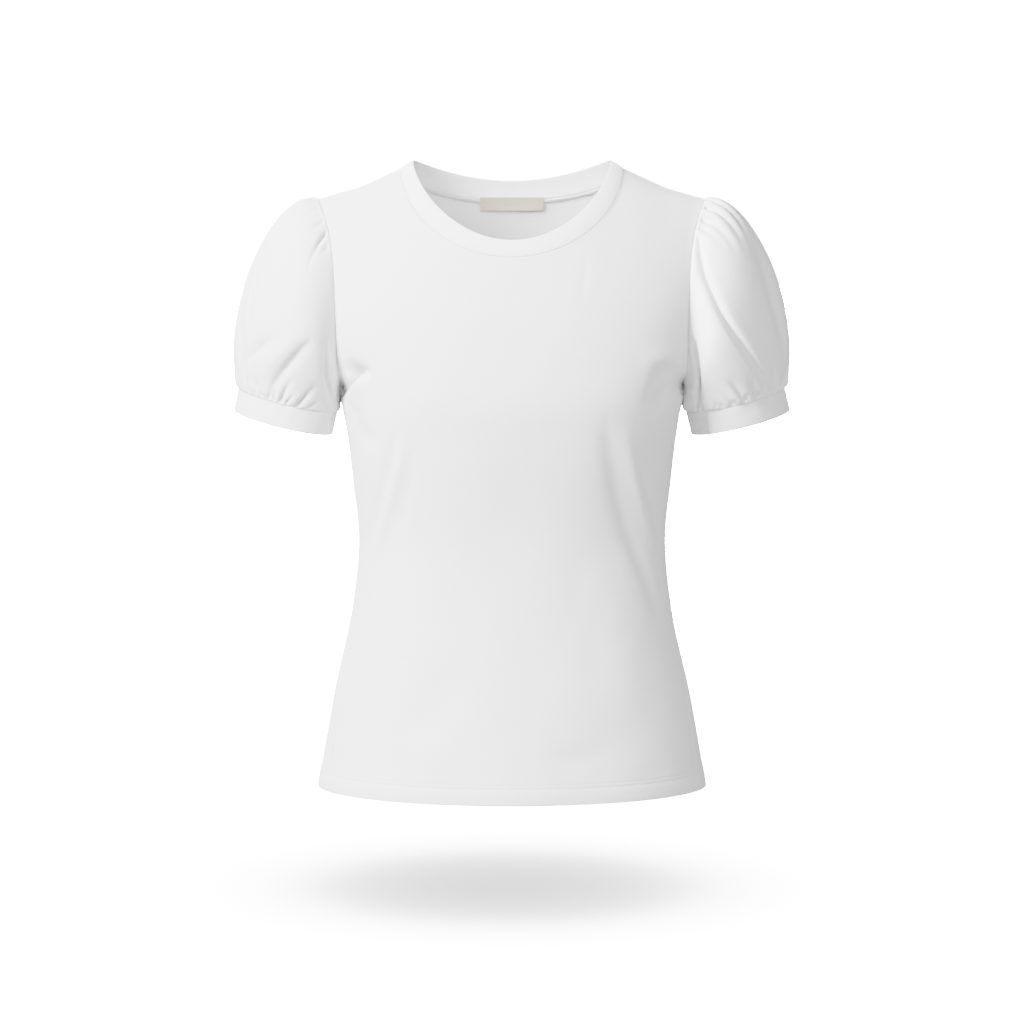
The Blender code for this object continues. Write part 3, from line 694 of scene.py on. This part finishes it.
# Long creases of each sleeve: the points that each runs through, as the angle and the share of the
# way to the cuff, then its half width and depth in mm and its lip.
SLEEVE_CREASES = {
    "left": (
        (((50, 0.02), (58, 0.05), (66, 0.09), (74, 0.15), (80, 0.28), (81, 0.42), (78, 0.56), (71, 0.70),
          (62, 0.81), (52, 0.90), (44, 0.98)), 4, 8, 0.08),
        (((108, 0.06), (117, 0.14), (126, 0.30), (130, 0.50), (132, 0.75), (134, 0.95)), 3.2, 8.5, 0),
        (((17, 0.34), (22, 0.48), (25, 0.62), (23, 0.74), (19, 0.88)), 11, 4, 0.15),
        (((92, 0.12), (97, 0.22), (101, 0.36)), 5, 1.4, 0),
        (((302, 0.06), (286, 0.20), (279, 0.45), (290, 0.74)), 6, 5, -0.35),
        (((322, 0.40), (330, 0.64), (336, 0.90)), 7, 3.4, 0.3),
        (((262, 0.20), (250, 0.50), (246, 0.90)), 6, 3, 0.2),
        (((225, 0.10), (222, 0.60), (228, 0.95)), 4.5, 2.4, 0),
    ),
    "right": (
        (((101, 0.36), (94, 0.55), (87, 0.69), (77, 0.82), (68, 0.91), (63, 0.99)), 5.4, 3.4, 0.25),
        (((93, 0.40), (81, 0.63), (66, 0.79), (50, 0.92)), 7, -1.8, 0),
        (((62, 0.68), (54, 0.75), (45, 0.80), (30, 0.87)), 6, 4, -0.25),
        (((24, 0.52), (29, 0.60), (33, 0.68), (34, 0.74)), 3, 3.4, 0.5),
        (((20, 0.73), (26, 0.85), (28, 0.98)), 3.8, 3, 0.3),
        (((106, 0.12), (120, 0.21), (129, 0.36), (141, 0.58), (148, 0.90)), 4.8, 4.2, -0.2),
        (((104, 0.09), (122, 0.13), (138, 0.17), (152, 0.34)), 4, -1.8, 0),
        (((298, 0.08), (284, 0.24), (276, 0.52), (284, 0.80)), 6, 4.8, -0.35),
        (((330, 0.42), (318, 0.66), (312, 0.92)), 7, 3.6, 0.3),
        (((256, 0.22), (246, 0.55), (240, 0.92)), 6, 3, 0.2),
        (((226, 0.12), (224, 0.60), (230, 0.95)), 4.5, 2.4, 0),
    ),
}
# Tight puckers between the gathers: how many, the first and last angle, the shortest and longest and
# the depth in mm. They vary in place, drift, half width and depth.
CAP_PUCKERS = (34, -66, 70, 6, 22, 1.4)
CUFF_PUCKERS = (76, -142, 142, 5, 13, 1.5)
PUCKER_PLACE, PUCKER_DRIFT = 0.32, 2.5
PUCKER_WIDTHS, PUCKER_DEPTHS = (1.3, 2.1), (0.5, 1.3)


def cuff_ring(turn, lower, side):
    """A ring round the cuff's slanted axis, with turn from 0 outward, by the front, to pi inward."""
    tilt, pitch, yaw = np.radians((CUFF_TILT, CUFF_PITCH, CUFF_YAW))
    axis = np.array([np.sin(tilt), 0.0, -np.cos(tilt)])
    outward = np.array([np.cos(tilt), 0.0, np.sin(tilt)])
    forward = np.array([-np.sin(yaw), -np.cos(pitch) * np.cos(yaw), -np.sin(pitch)])
    centre = np.array(CUFF_TOP) + axis * lower
    ring = (centre + np.cos(turn)[..., None] * outward * CUFF_RADIUS
            + np.sin(turn)[..., None] * forward * CUFF_DEPTH_RADIUS)
    return ring * (side, 1, 1)


def mixed(turn, top, bottom, flank):
    """A direction round the sleeve, from its values on top, under the arm and on the flanks."""
    over, under, sideways = np.cos(turn / 2) ** 2, np.sin(turn / 2) ** 2, np.sin(turn)
    flanks = np.stack([flank[0] * np.abs(sideways), -flank[1] * sideways,
                       flank[2] * np.abs(sideways)], axis=-1)
    return over[..., None] * np.array(top) + under[..., None] * np.array(bottom) + flanks


def sleeve_form(turn, down):
    """The left sleeve before it is gathered, at an angle round it and a share of the way down."""
    climb = np.abs(1 - turn / np.pi)
    z = UNDERARM_Z + (ARMHOLE["z"][-1] - UNDERARM_Z) * (1 - np.cos(np.pi * climb)) / 2
    x = curve(ARMHOLE["z"], ARMHOLE["x"], z)
    start = np.where((turn > np.pi)[..., None], body_point(x, z, True), body_point(x, z, False))
    start = start + (SEAM_GAP, 0, 0)
    end = cuff_ring(turn, 0.0, 1)
    leave = mixed(turn, SLEEVE_LEAVE_TOP, SLEEVE_LEAVE_BOTTOM, SLEEVE_LEAVE_SIDE)
    arrive = mixed(turn, SLEEVE_ARRIVE_TOP, SLEEVE_ARRIVE_BOTTOM, SLEEVE_ARRIVE_SIDE)
    share = down[..., None]
    return ((2 * share ** 3 - 3 * share ** 2 + 1) * start + (share ** 3 - 2 * share ** 2 + share) * leave
            + (3 * share ** 2 - 2 * share ** 3) * end + (share ** 3 - share ** 2) * arrive)


def gathered(turn, reach, gathers):
    """How far the gathers that start at a seam press the cloth in, by its distance from the seam."""
    press = np.zeros(turn.shape)
    for start, drift, length, half_width, depth in gathers:
        share = np.clip(reach / (length * MM), 0, 1)
        off = (turn - start - drift * share + 180) % 360 - 180
        spread = half_width * (1 + GATHER_SPREAD * share)
        press += depth * MM * (1 - share) ** GATHER_FADE * hill(off, spread)
    return press * (1 - hill(reach, PINCH))


def puckers(count, first, last, shortest, longest, depth, draws):
    """Tight small puckers between the gathers, uneven in place, length and depth."""
    step = (last - first) / count
    rows = []
    for number in range(count):
        start = first + step * (number + 0.5 + draws.uniform(-PUCKER_PLACE, PUCKER_PLACE))
        drift = draws.uniform(-PUCKER_DRIFT, PUCKER_DRIFT)
        length = draws.uniform(shortest, longest)
        half_width = draws.uniform(*PUCKER_WIDTHS)
        rows.append((start, drift, length, half_width, depth * draws.uniform(*PUCKER_DEPTHS)))
    return tuple(rows)


def on_sleeve(degrees, share):
    """The point of the form at an angle round it and a share of the way down."""
    return sleeve_form(np.radians(degrees), share)


def sleeve(name, hand, seed):
    """One sleeve, and its points and normals. It is worked out as the left one, then mirrored."""
    turn = np.linspace(0, 2 * np.pi, SLEEVE_COLUMNS, endpoint=False)
    down = np.linspace(0, 1, SLEEVE_ROWS + 1)
    down = down - SLEEVE_CROWDING * np.sin(2 * np.pi * down)
    turns, downs = np.meshgrid(turn, down)
    form = sleeve_form(turns, downs)
    ahead = np.roll(form, -1, axis=1) - np.roll(form, 1, axis=1)
    out = unit(np.cross(ahead, np.gradient(form, axis=0)))
    out *= np.sign(np.sum(out * (form - form.mean(axis=(0, 1)))))
    gone = run_of(form, 0)
    left_to_go = gone[-1:] - gone
    draws = np.random.default_rng(seed)
    degrees = np.degrees(turns)
    near_seams = np.minimum(gone, left_to_go)
    lift = creased(form, out, SLEEVE_CREASES[hand], on_sleeve) + swaying(form, seed)
    lift *= 1 - hill(near_seams, SEAM_HOLD)
    cap_gathers = CAP_GATHERS[hand] + puckers(*CAP_PUCKERS, draws)
    cuff_gathers = CUFF_GATHERS[hand] + puckers(*CUFF_PUCKERS, draws)
    lift -= gathered(degrees, gone, cap_gathers)
    lift -= CUFF_PRESS[hand] * gathered(degrees, left_to_go, cuff_gathers)
    lift += CUFF_PUFF * (1 - hill(left_to_go, PUFF_FROM)) * hill(left_to_go, PUFF_TO)
    ridge = falling((gone - RIDGE_TO) / RIDGE_EDGE) * (1 - hill(gone, RIDGE_FROM))
    lift += SEAM_RIDGE[hand] * ridge * np.clip(gone[-1:] / RIDGE_NEEDS, 0, 1)
    lift -= SEAM_TUCK * hill(near_seams, SEAM_ROLL)
    lift -= UNDERARM_TUCK * hill(np.abs(degrees - 180) / 360 * UNDERARM_ROUND, SEAM_ROLL)
    side = 1 if hand == "left" else -1
    points = hollowed((form + out * lift[..., None]) * (side, 1, 1))
    grain = np.stack([degrees / 360 * GRAIN_ROUND, gone], axis=-1)
    grain = np.concatenate([grain, grain[:, :1] + (GRAIN_ROUND, 0.0)], axis=1)
    made = cloth_mesh(name, points, grain, jersey, ring=True, flip=side > 0, wall=JERSEY)
    return made, np.concatenate([points, out * (side, 1, 1)], axis=-1)


sleeve_faces = {}
for hand, seed in (("left", 21), ("right", 22)):
    piece, sleeve_faces[hand] = sleeve(hand + "_sleeve_cloth", hand, seed)
    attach(piece, "root")
    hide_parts("sleeve_" + hand)

# ---- cuffs -----------------------------------------------------------------------------------
# Each cuff is a narrow band of the same jersey, folded double along its lower edge. Both of its
# raw edges are sewn to the gathered sleeve, with the seam inside.
CUFF_COLUMNS = 240
CUFF_ROWS, CUFF_FOLD_ROWS = 12, 5
CUFF_ROUND = 0.305
CUFF_FOLD = 0.0007
CUFF_TUCK = 0.00024
CUFF_WAVES = (5, 8, 13, 19)
CUFF_WAVE_HEIGHTS, CUFF_WAVE_TURN = (0.3, 1.0), 6.28
CUFF_PUCKER, CUFF_PUCKER_REACH = 0.00035, 0.012
BAND_CROWDING = 1.25


def band_rows(height, fold, rows, fold_rows):
    """The way round a folded band: how far down from the seam, and how far in from its outer face."""
    down = list(np.linspace(0, 1, rows) ** BAND_CROWDING * (height - fold))
    inward = [0.0] * rows
    for angle in np.linspace(0, np.pi, fold_rows + 2)[1:-1]:
        down.append(height - fold + fold * np.sin(angle))
        inward.append(fold * (1 - np.cos(angle)))
    for lower in down[rows - 1::-1]:
        down.append(lower)
        inward.append(2 * fold)
    return np.array(down), np.array(inward)


def cuff(name, hand, seed):
    """One cuff band, folded double."""
    side = 1 if hand == "left" else -1
    draws = np.random.default_rng(seed)
    turn = np.linspace(0, 2 * np.pi, CUFF_COLUMNS, endpoint=False)
    down, inward = band_rows(CUFF_HEIGHT, CUFF_FOLD, CUFF_ROWS, CUFF_FOLD_ROWS)
    waves = np.zeros(CUFF_COLUMNS)
    for count in CUFF_WAVES:
        height = draws.uniform(*CUFF_WAVE_HEIGHTS)
        waves += height * np.sin(turn * count + draws.uniform(0, CUFF_WAVE_TURN))
    rows = []
    for lower, inset in zip(down, inward):
        ring = cuff_ring(turn, max(lower, SEAM_GAP), side)
        out = unit(ring - ring.mean(axis=0))
        tuck = CUFF_TUCK * hill(lower, SEAM_ROLL)
        ripple = CUFF_PUCKER * waves * np.exp(-lower / CUFF_PUCKER_REACH)
        rows.append(ring - out * (inset + tuck - ripple)[:, None])
    points = np.array(rows)
    run = np.linspace(0, CUFF_ROUND, CUFF_COLUMNS + 1)
    grain = np.stack(np.meshgrid(run, np.append(down + inward, 2 * CUFF_HEIGHT)), axis=-1)
    return cloth_mesh(name, points, grain, jersey, ring=True, flip=side > 0, loop=True)


for hand, seed in (("left", 31), ("right", 32)):
    piece = cuff(hand + "_cuff_band", hand, seed)
    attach(piece, "root")
    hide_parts("cuff_" + hand)

# ---- neckband --------------------------------------------------------------------------------
# The neckband is a strip of fine cotton rib, folded double and stretched a little as it is sewn
# round the neck, so that it stands up and hugs. Its seam is pressed down towards the body.
BAND_HALF_WIDTH = 0.0940
BAND_SIDE_Z = 0.0
BAND_FRONT_Z, BAND_FRONT_POWER = -0.0703, 1.4
BAND_BACK_Z, BAND_BACK_POWER = -0.0224, 1.9
BAND_REACH = 0.94
BAND_SWELL, BAND_TUCK = 0.0007, 0.00021
BAND_ROWS, BAND_FOLD_ROWS = 9, 4
BAND_HEIGHT, BAND_GRAIN = 0.017, 0.04
FOLD_SHARE = 0.055
RIB_FOLD = 0.00045
RIBS = 500
RIB_STEPS = 5
RIB_DEPTH = 0.00013
BAND_SOFTENING = 0.006
NECK_SAMPLES = 900


def neck_lines():
    """The neckband's seam and its top edge, evenly spaced all round, from the left shoulder."""
    seam, edge = [], []
    for back in (False, True):
        turn = neck_turn(np.linspace(1, -1, NECK_SAMPLES + 1))
        x, z = neck_seam(turn, back)
        points = body_point(x, z, back)
        points[[0, -1], 1] = 0.0
        low, power = (BAND_BACK_Z, BAND_BACK_POWER) if back else (BAND_FRONT_Z, BAND_FRONT_POWER)
        rise = np.abs(np.sin(turn)) ** power
        top = np.stack([BAND_HALF_WIDTH * np.cos(turn), points[:, 1] * BAND_REACH,
                        BAND_SIDE_Z + (low - BAND_SIDE_Z) * rise], axis=-1)
        order = slice(0, NECK_SAMPLES) if not back else slice(NECK_SAMPLES, 0, -1)
        seam.append(points[order])
        edge.append(top[order])
    both = np.concatenate([np.concatenate(seam), np.concatenate(edge)], axis=1)
    both = np.concatenate([both, both[:1]])
    gone = run_of((both[:, :3] + both[:, 3:]) / 2, 0)
    at = np.linspace(0, gone[-1], RIBS * RIB_STEPS, endpoint=False)
    even = along_line(both, gone, at)
    span = int(round(BAND_SOFTENING / (gone[-1] / len(at))))
    soft = even.copy()
    for shift in range(1, span + 1):
        soft += np.roll(even, shift, axis=0) + np.roll(even, -shift, axis=0)
    soft /= 2 * span + 1
    return even[:, :3], soft[:, 3:], gone[-1]


def neckband():
    """The folded rib band, with its ribs raised on both faces."""
    seam, edge, length = neck_lines()
    up = unit(edge - seam)
    along = np.roll(seam, -1, axis=0) - np.roll(seam, 1, axis=0)
    out = unit(np.cross(along, up))
    out *= np.sign(np.sum(out * seam * (1, 1, 0), axis=-1, keepdims=True))
    start = seam + up * SEAM_GAP
    height = np.linalg.norm(edge - start, axis=-1)
    down, inward = band_rows(1.0, FOLD_SHARE, BAND_ROWS, BAND_FOLD_ROWS)
    ribs = RIB_DEPTH * np.cos(np.arange(len(seam)) * 2 * np.pi / RIB_STEPS)
    rows = []
    for share, inset in zip(down, inward):
        deep = inset / FOLD_SHARE * RIB_FOLD
        face = 1 - inset / FOLD_SHARE
        swell = BAND_SWELL * np.sin(np.pi * min(share, 1.0))
        tuck = BAND_TUCK * hill(share * height, SEAM_ROLL)
        shift = swell - deep + ribs * face - (tuck if face > 0 else 0)
        rows.append(start + up * (height * share)[:, None] + out * shift[:, None])
    points = np.array(rows)
    run = np.linspace(0, length, RIBS * RIB_STEPS + 1)
    grain = np.stack(np.meshgrid(run, np.append(down * BAND_HEIGHT, BAND_GRAIN)), axis=-1)
    return cloth_mesh("neck_rib", points, grain, rib, ring=True, flip=True, loop=True)


rib = knit_finish("white_rib", 0.00004)
neck = neckband()
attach(neck, "root")
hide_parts("neckband")

# ---- inside seams ----------------------------------------------------------------------------
# Inside, the seams are overlocked: a narrow allowance of doubled jersey, pressed to one side, with
# loops of thread over its raw edge. They show through the neck, the cuffs and the hem.
ALLOWANCE = 0.0040
ALLOWANCE_WALL = 0.0005
ALLOWANCE_STAND, ALLOWANCE_LIFT = 0.0002, 0.0003
ALLOWANCE_SHARES = (0.04, 0.35, 0.70, 1.0)
LOOP_PITCH = 0.0021
LOOP_START = 0.0013
LOOP_STAND = 0.00045
RING_STEP = 0.002
SIDE_SEAM_START = 6
NECK_END = 0.0001


def at_reach(cloth, reach):
    """The line across a cloth's grid at a distance from its first row."""
    gone = run_of(cloth[..., :3], 0)
    found = np.empty(cloth.shape[1:])
    for column in range(cloth.shape[1]):
        for axis in range(cloth.shape[2]):
            found[column, axis] = np.interp(reach, gone[:, column], cloth[:, column, axis])
    return found


def allowance(name, both, ring, flip):
    """The pressed allowance along the first row of the cloth's points and normals, and its loops."""
    lines = []
    for share in ALLOWANCE_SHARES:
        found = at_reach(both, ALLOWANCE * share)
        under = JERSEY + ALLOWANCE_STAND + ALLOWANCE_LIFT * share
        lines.append(found[:, :3] - unit(found[:, 3:]) * under)
    points = np.array(lines)
    across = run_of(points, 1)
    across = np.concatenate([across, across[:, -1:] + RING_STEP], axis=1) if ring else across
    depth = np.array(ALLOWANCE_SHARES)[:, None] * ALLOWANCE + 0 * across
    grain = np.stack([across, depth], axis=-1)
    made = cloth_mesh(name, points, grain, jersey, ring=ring, flip=flip, wall=ALLOWANCE_WALL)
    inner, outer = at_reach(both, LOOP_START), at_reach(both, ALLOWANCE)
    gone = run_of(outer[:, :3], 0)
    at = np.arange(LOOP_PITCH, gone[-1] - LOOP_PITCH, LOOP_PITCH)
    loop = np.stack([along_line(inner, gone, at), along_line(outer, gone, at + LOOP_PITCH / 2),
                     along_line(inner, gone, at + LOOP_PITCH)], axis=1)
    lean = -unit(loop[..., 3:])
    return made, (loop[..., :3] + lean * (JERSEY + ALLOWANCE_WALL + LOOP_STAND), lean)


top_x = back_face[-1, :, 0]
at_neck = np.abs(top_x) < NECK_HALF_WIDTH - NECK_END
at_left, at_right = ~at_neck & (top_x > 0), ~at_neck & (top_x < 0)
front_top, back_top = front_face[::-1], back_face[::-1]
back_side = back_face[SIDE_SEAM_START:-RISE_ROWS].swapaxes(0, 1)
seams = (
    # name, the cloth behind which it lies, whether it is a ring, whether its faces are turned
    ("neck_seam_front", front_top[:, at_neck], False, True),
    ("neck_seam_back", back_top[:, at_neck], False, False),
    ("shoulder_seam_left", back_top[:, at_left], False, False),
    ("shoulder_seam_right", back_top[:, at_right], False, False),
    ("side_seam_left", back_side[::-1], False, False),
    ("side_seam_right", back_side, False, True),
    ("armhole_seam_left", sleeve_faces["left"], True, True),
    ("armhole_seam_right", sleeve_faces["right"], True, False),
)
all_loops = []
for name, cloth, ring, flip in seams:
    piece, loops = allowance(name, cloth, ring, flip)
    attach(piece, "root")
    all_loops.append(loops)
overlock = threads("overlock_threads", all_loops, np.full(3, THREAD_RADIUS))
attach(overlock, "root")

# ---- neck label ------------------------------------------------------------------------------
# A small flat woven label, beige and left bare, is sewn inside the back over the neckband's seam.
# Its two short ends are stitched.
LABEL_HALF_WIDTH = 0.0309
LABEL_TOP_Z, LABEL_BOTTOM_Z = -0.0375, -0.0512
LABEL_WALL = 0.0005
LABEL_STAND, LABEL_HANG = 0.0017, 0.0009
LABEL_COLUMNS, LABEL_ROWS = 64, 14
LABEL_PITCH, LABEL_STITCH, LABEL_THREAD = 0.0018, 0.0014, 0.8
STITCHED_COLUMN = 2
WEAVE_SHADE = 0.86


def label_finish(name, colour):
    """Flat woven satin tape with a fine over-and-under weave."""
    made, tree, shader = surface(name, {"Roughness": 0.62, "Sheen Weight": 0.1})
    shade = [part * WEAVE_SHADE for part in colour]
    weave = pattern(tree, "TexChecker", {"Vector": grain_of(tree), "Scale": 2600.0,
                                         "Color1": (*colour, 1.0), "Color2": (*shade, 1.0)})
    tree.links.new(weave.outputs["Color"], shader.inputs["Base Color"])
    raised(tree, shader, weave.outputs["Fac"], strength=0.4, depth=0.00008)
    return made


across = np.linspace(-1, 1, LABEL_COLUMNS + 1) * LABEL_HALF_WIDTH
down = np.linspace(LABEL_TOP_Z, LABEL_BOTTOM_Z, LABEL_ROWS + 1)
label_x, label_z = np.meshgrid(across, down)
under_label = body_point(label_x, label_z, True)
label_out = -body_normal(under_label)
hang = np.linspace(0, 1, LABEL_ROWS + 1)[:, None] ** 2
stand = LABEL_STAND + LABEL_HANG * hang * (1 - (label_x / LABEL_HALF_WIDTH) ** 4)
label_points = under_label + label_out * stand[..., None]
woven = label_finish("label_weave", (0.50, 0.445, 0.345))
label_grain = np.stack([label_x, label_z], axis=-1)
label = cloth_mesh("bare_label", label_points, label_grain, woven, wall=LABEL_WALL)
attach(label, "root")
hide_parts("neck_label")
ends = []
label_face = np.concatenate([label_points, label_out], axis=-1)[1:-1]
for column in (STITCHED_COLUMN, LABEL_COLUMNS - STITCHED_COLUMN):
    ends.append(stitch_lines(label_face[:, column], LABEL_PITCH, LABEL_STITCH))
label_stitches = threads("label_stitches", ends, stitch_widths * LABEL_THREAD)
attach(label_stitches, "root")

# ---- floor, studio and camera ----------------------------------------------------------------
# The garment floats over a plain white floor in a plain white room. The soft shadow below it is a
# painted shadow: the floor's glow is dimmed in a round pool under the garment, and no lamp lights the
# floor. Its key light stands to the upper left, with one of its own for the left sleeve. A weak one fills
# from the right, one stands behind, and two reach in at the neck: to the neckband, and to the back and
# label.
FLOOR_Z = -0.700
ROOM_HALF = 8.0
ROOM_SINK = 0.02
ROOM_GLOW = 17.0
SHADE_OFF_CENTRE = -0.006
SHADE_HALF_WIDTH = 0.193
SHADE_HALF_DEPTH = 0.200
SHADE_FORWARD = 0.008
# How bright the floor glows, by the distance from the middle of the painted shadow in shares of its half
# sizes.
SHADE = ((0.0, 0.105), (0.3, 0.117), (0.5, 0.140), (0.7, 0.19), (0.85, 0.275), (1.0, 0.445), (1.2, 0.67),
         (1.4, 0.84), (1.7, 1.0))
SHADE_REACH = SHADE[-1][0]
LAMP_AWAY = 3.6


def plain(name, colour, glow=0.0):
    """A plain matt studio surface, or one that only glows, with its nodes and shader."""
    return surface(name, {"Base Color": (*colour, 1.0), "Roughness": 0.9, "Specular IOR Level": 0.0,
                          "Emission Color": (1.0, 1.0, 1.0, 1.0), "Emission Strength": glow})


def studio_piece(made, name, finish):
    """A floor or wall: seen by the camera, but throwing no light on the garment."""
    made.name = name
    made.data.materials.append(finish)
    made.visible_diffuse = False
    made.visible_glossy = False
    made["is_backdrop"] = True
    return made


def floor_with_painted_shadow(name):
    """The floor's white glow, dimmed softly in a round pool under the garment: a painted shadow."""
    made, tree, shader = plain(name, (0.90, 0.90, 0.90))
    middle = (-SHADE_OFF_CENTRE / SHADE_HALF_WIDTH, SHADE_FORWARD / SHADE_HALF_DEPTH, 0.0)
    pool = pattern(tree, "Mapping", {"Vector": pattern(tree, "TexCoord", {}).outputs["Object"],
                                     "Location": middle,
                                     "Scale": (1 / SHADE_HALF_WIDTH, 1 / SHADE_HALF_DEPTH, 1.0)})
    away = pattern(tree, "VectorMath", {0: pool.outputs[0]}, "LENGTH").outputs["Value"]
    glow = pattern(tree, "FloatCurve", {"Value": reckon(tree, "DIVIDE", away, SHADE_REACH)})
    line = glow.mapping.curves[0]
    line.points[0].location = (0.0, SHADE[0][1])
    line.points[1].location = (1.0, SHADE[-1][1])
    for distance, share in SHADE[1:-1]:
        line.points.new(distance / SHADE_REACH, share)
    glow.mapping.update()
    # Painted shadow: the floor's glow is dimmed by the distance from the pool's middle.
    strength = reckon(tree, "MULTIPLY", glow.outputs[0], ROOM_GLOW)
    tree.links.new(strength, shader.inputs["Emission Strength"])
    return made


bpy.ops.mesh.primitive_plane_add(size=2 * ROOM_HALF, location=(0, 0, FLOOR_Z))
# The floor's glow carries the painted shadow under the garment; no lamp lights the floor.
studio_piece(bpy.context.object, "floor", floor_with_painted_shadow("floor_white_painted_shadow"))
bpy.ops.mesh.primitive_cube_add(size=2 * ROOM_HALF, location=(0, 0, FLOOR_Z + ROOM_HALF - ROOM_SINK))
room_white = plain("room_white", (0.0, 0.0, 0.0), ROOM_GLOW)[0]
room = studio_piece(bpy.context.object, "room", room_white)
room.visible_shadow = False


def lit(name, pieces):
    """The pieces that a light is set for."""
    made = bpy.data.collections.new(name)
    for piece in pieces:
        made.objects.link(piece)
    return made


def lamp(name, kind, turned, raised_by, energy, target, receivers):
    """A light, turned and raised from straight in front, that lights only its receivers."""
    data = bpy.data.lights.new(name, kind)
    data.energy = energy
    made = bpy.data.objects.new(name, data)
    bpy.context.scene.collection.objects.link(made)
    round_by, up_by = np.radians((turned, raised_by))
    way = Vector((np.sin(round_by) * np.cos(up_by), -np.cos(round_by) * np.cos(up_by), np.sin(up_by)))
    made.location = Vector(target) + way * LAMP_AWAY
    made.rotation_euler = way.to_track_quat("Z", "Y").to_euler()
    made.light_linking.receiver_collection = receivers
    return data


CHEST = (0.0, 0.0, -0.3)
NECK_MIDDLE = (0.0, 0.08, -0.07)
left_sleeve = [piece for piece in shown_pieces() if piece.name.startswith("left_")]
the_rest = [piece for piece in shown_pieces() if piece not in left_sleeve]
on_garment = lit("lit_garment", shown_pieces())
on_left_sleeve = lit("lit_left_sleeve", left_sleeve)
on_the_rest = lit("lit_rest", the_rest)
on_inside = lit("lit_inside", (back, label, label_stitches, overlock))
on_neckband = lit("lit_neckband", (neck,))
area_lights = (
    # name, turned, raised, power, size, what it is aimed at, what it lights
    ("key", -50, 32, 820.0, 1.6, CHEST, on_the_rest),
    ("fill", 25, 10, 105.0, 1.6, CHEST, on_garment),
    ("sleeve_key", -59, 30, 1180.0, 1.2, CHEST, on_left_sleeve),
    ("behind", -155, 30, 250.0, 0.6, CHEST, on_garment),
    ("neckband_inside", 10, 42, 130.0, 1.2, NECK_MIDDLE, on_neckband),
)
for name, turned, raised_by, energy, size, target, receivers in area_lights:
    lamp(name, "AREA", turned, raised_by, energy, target, receivers).size = size
neck_light = lamp("neck_inside", "SPOT", 5, 18, 3400.0, NECK_MIDDLE, on_inside)
neck_light.spot_size = np.radians(5.5)
neck_light.spot_blend = 0.6
neck_light.shadow_soft_size = 0.4
world = bpy.data.worlds.new("studio_air")
world.use_nodes = True
air = world.node_tree.nodes["Background"]
air.inputs["Color"].default_value = (1.0, 1.0, 1.0, 1.0)
air.inputs["Strength"].default_value = 0.55
bpy.context.scene.world = world

CAMERA_PLACE = (0.0, -5.0, 0.243)
CAMERA_TARGET = (0.0, 0.0, -0.337)
CAMERA_LENS, CAMERA_SENSOR = 184.35, 36.0
camera_data = bpy.data.cameras.new("camera")
camera_data.lens = CAMERA_LENS
camera_data.sensor_width = CAMERA_SENSOR
camera = bpy.data.objects.new("camera", camera_data)
camera.location = CAMERA_PLACE
looking = Vector(CAMERA_TARGET) - Vector(CAMERA_PLACE)
camera.rotation_euler = looking.to_track_quat("-Z", "Y").to_euler()
bpy.context.scene.collection.objects.link(camera)
bpy.context.scene.camera = camera
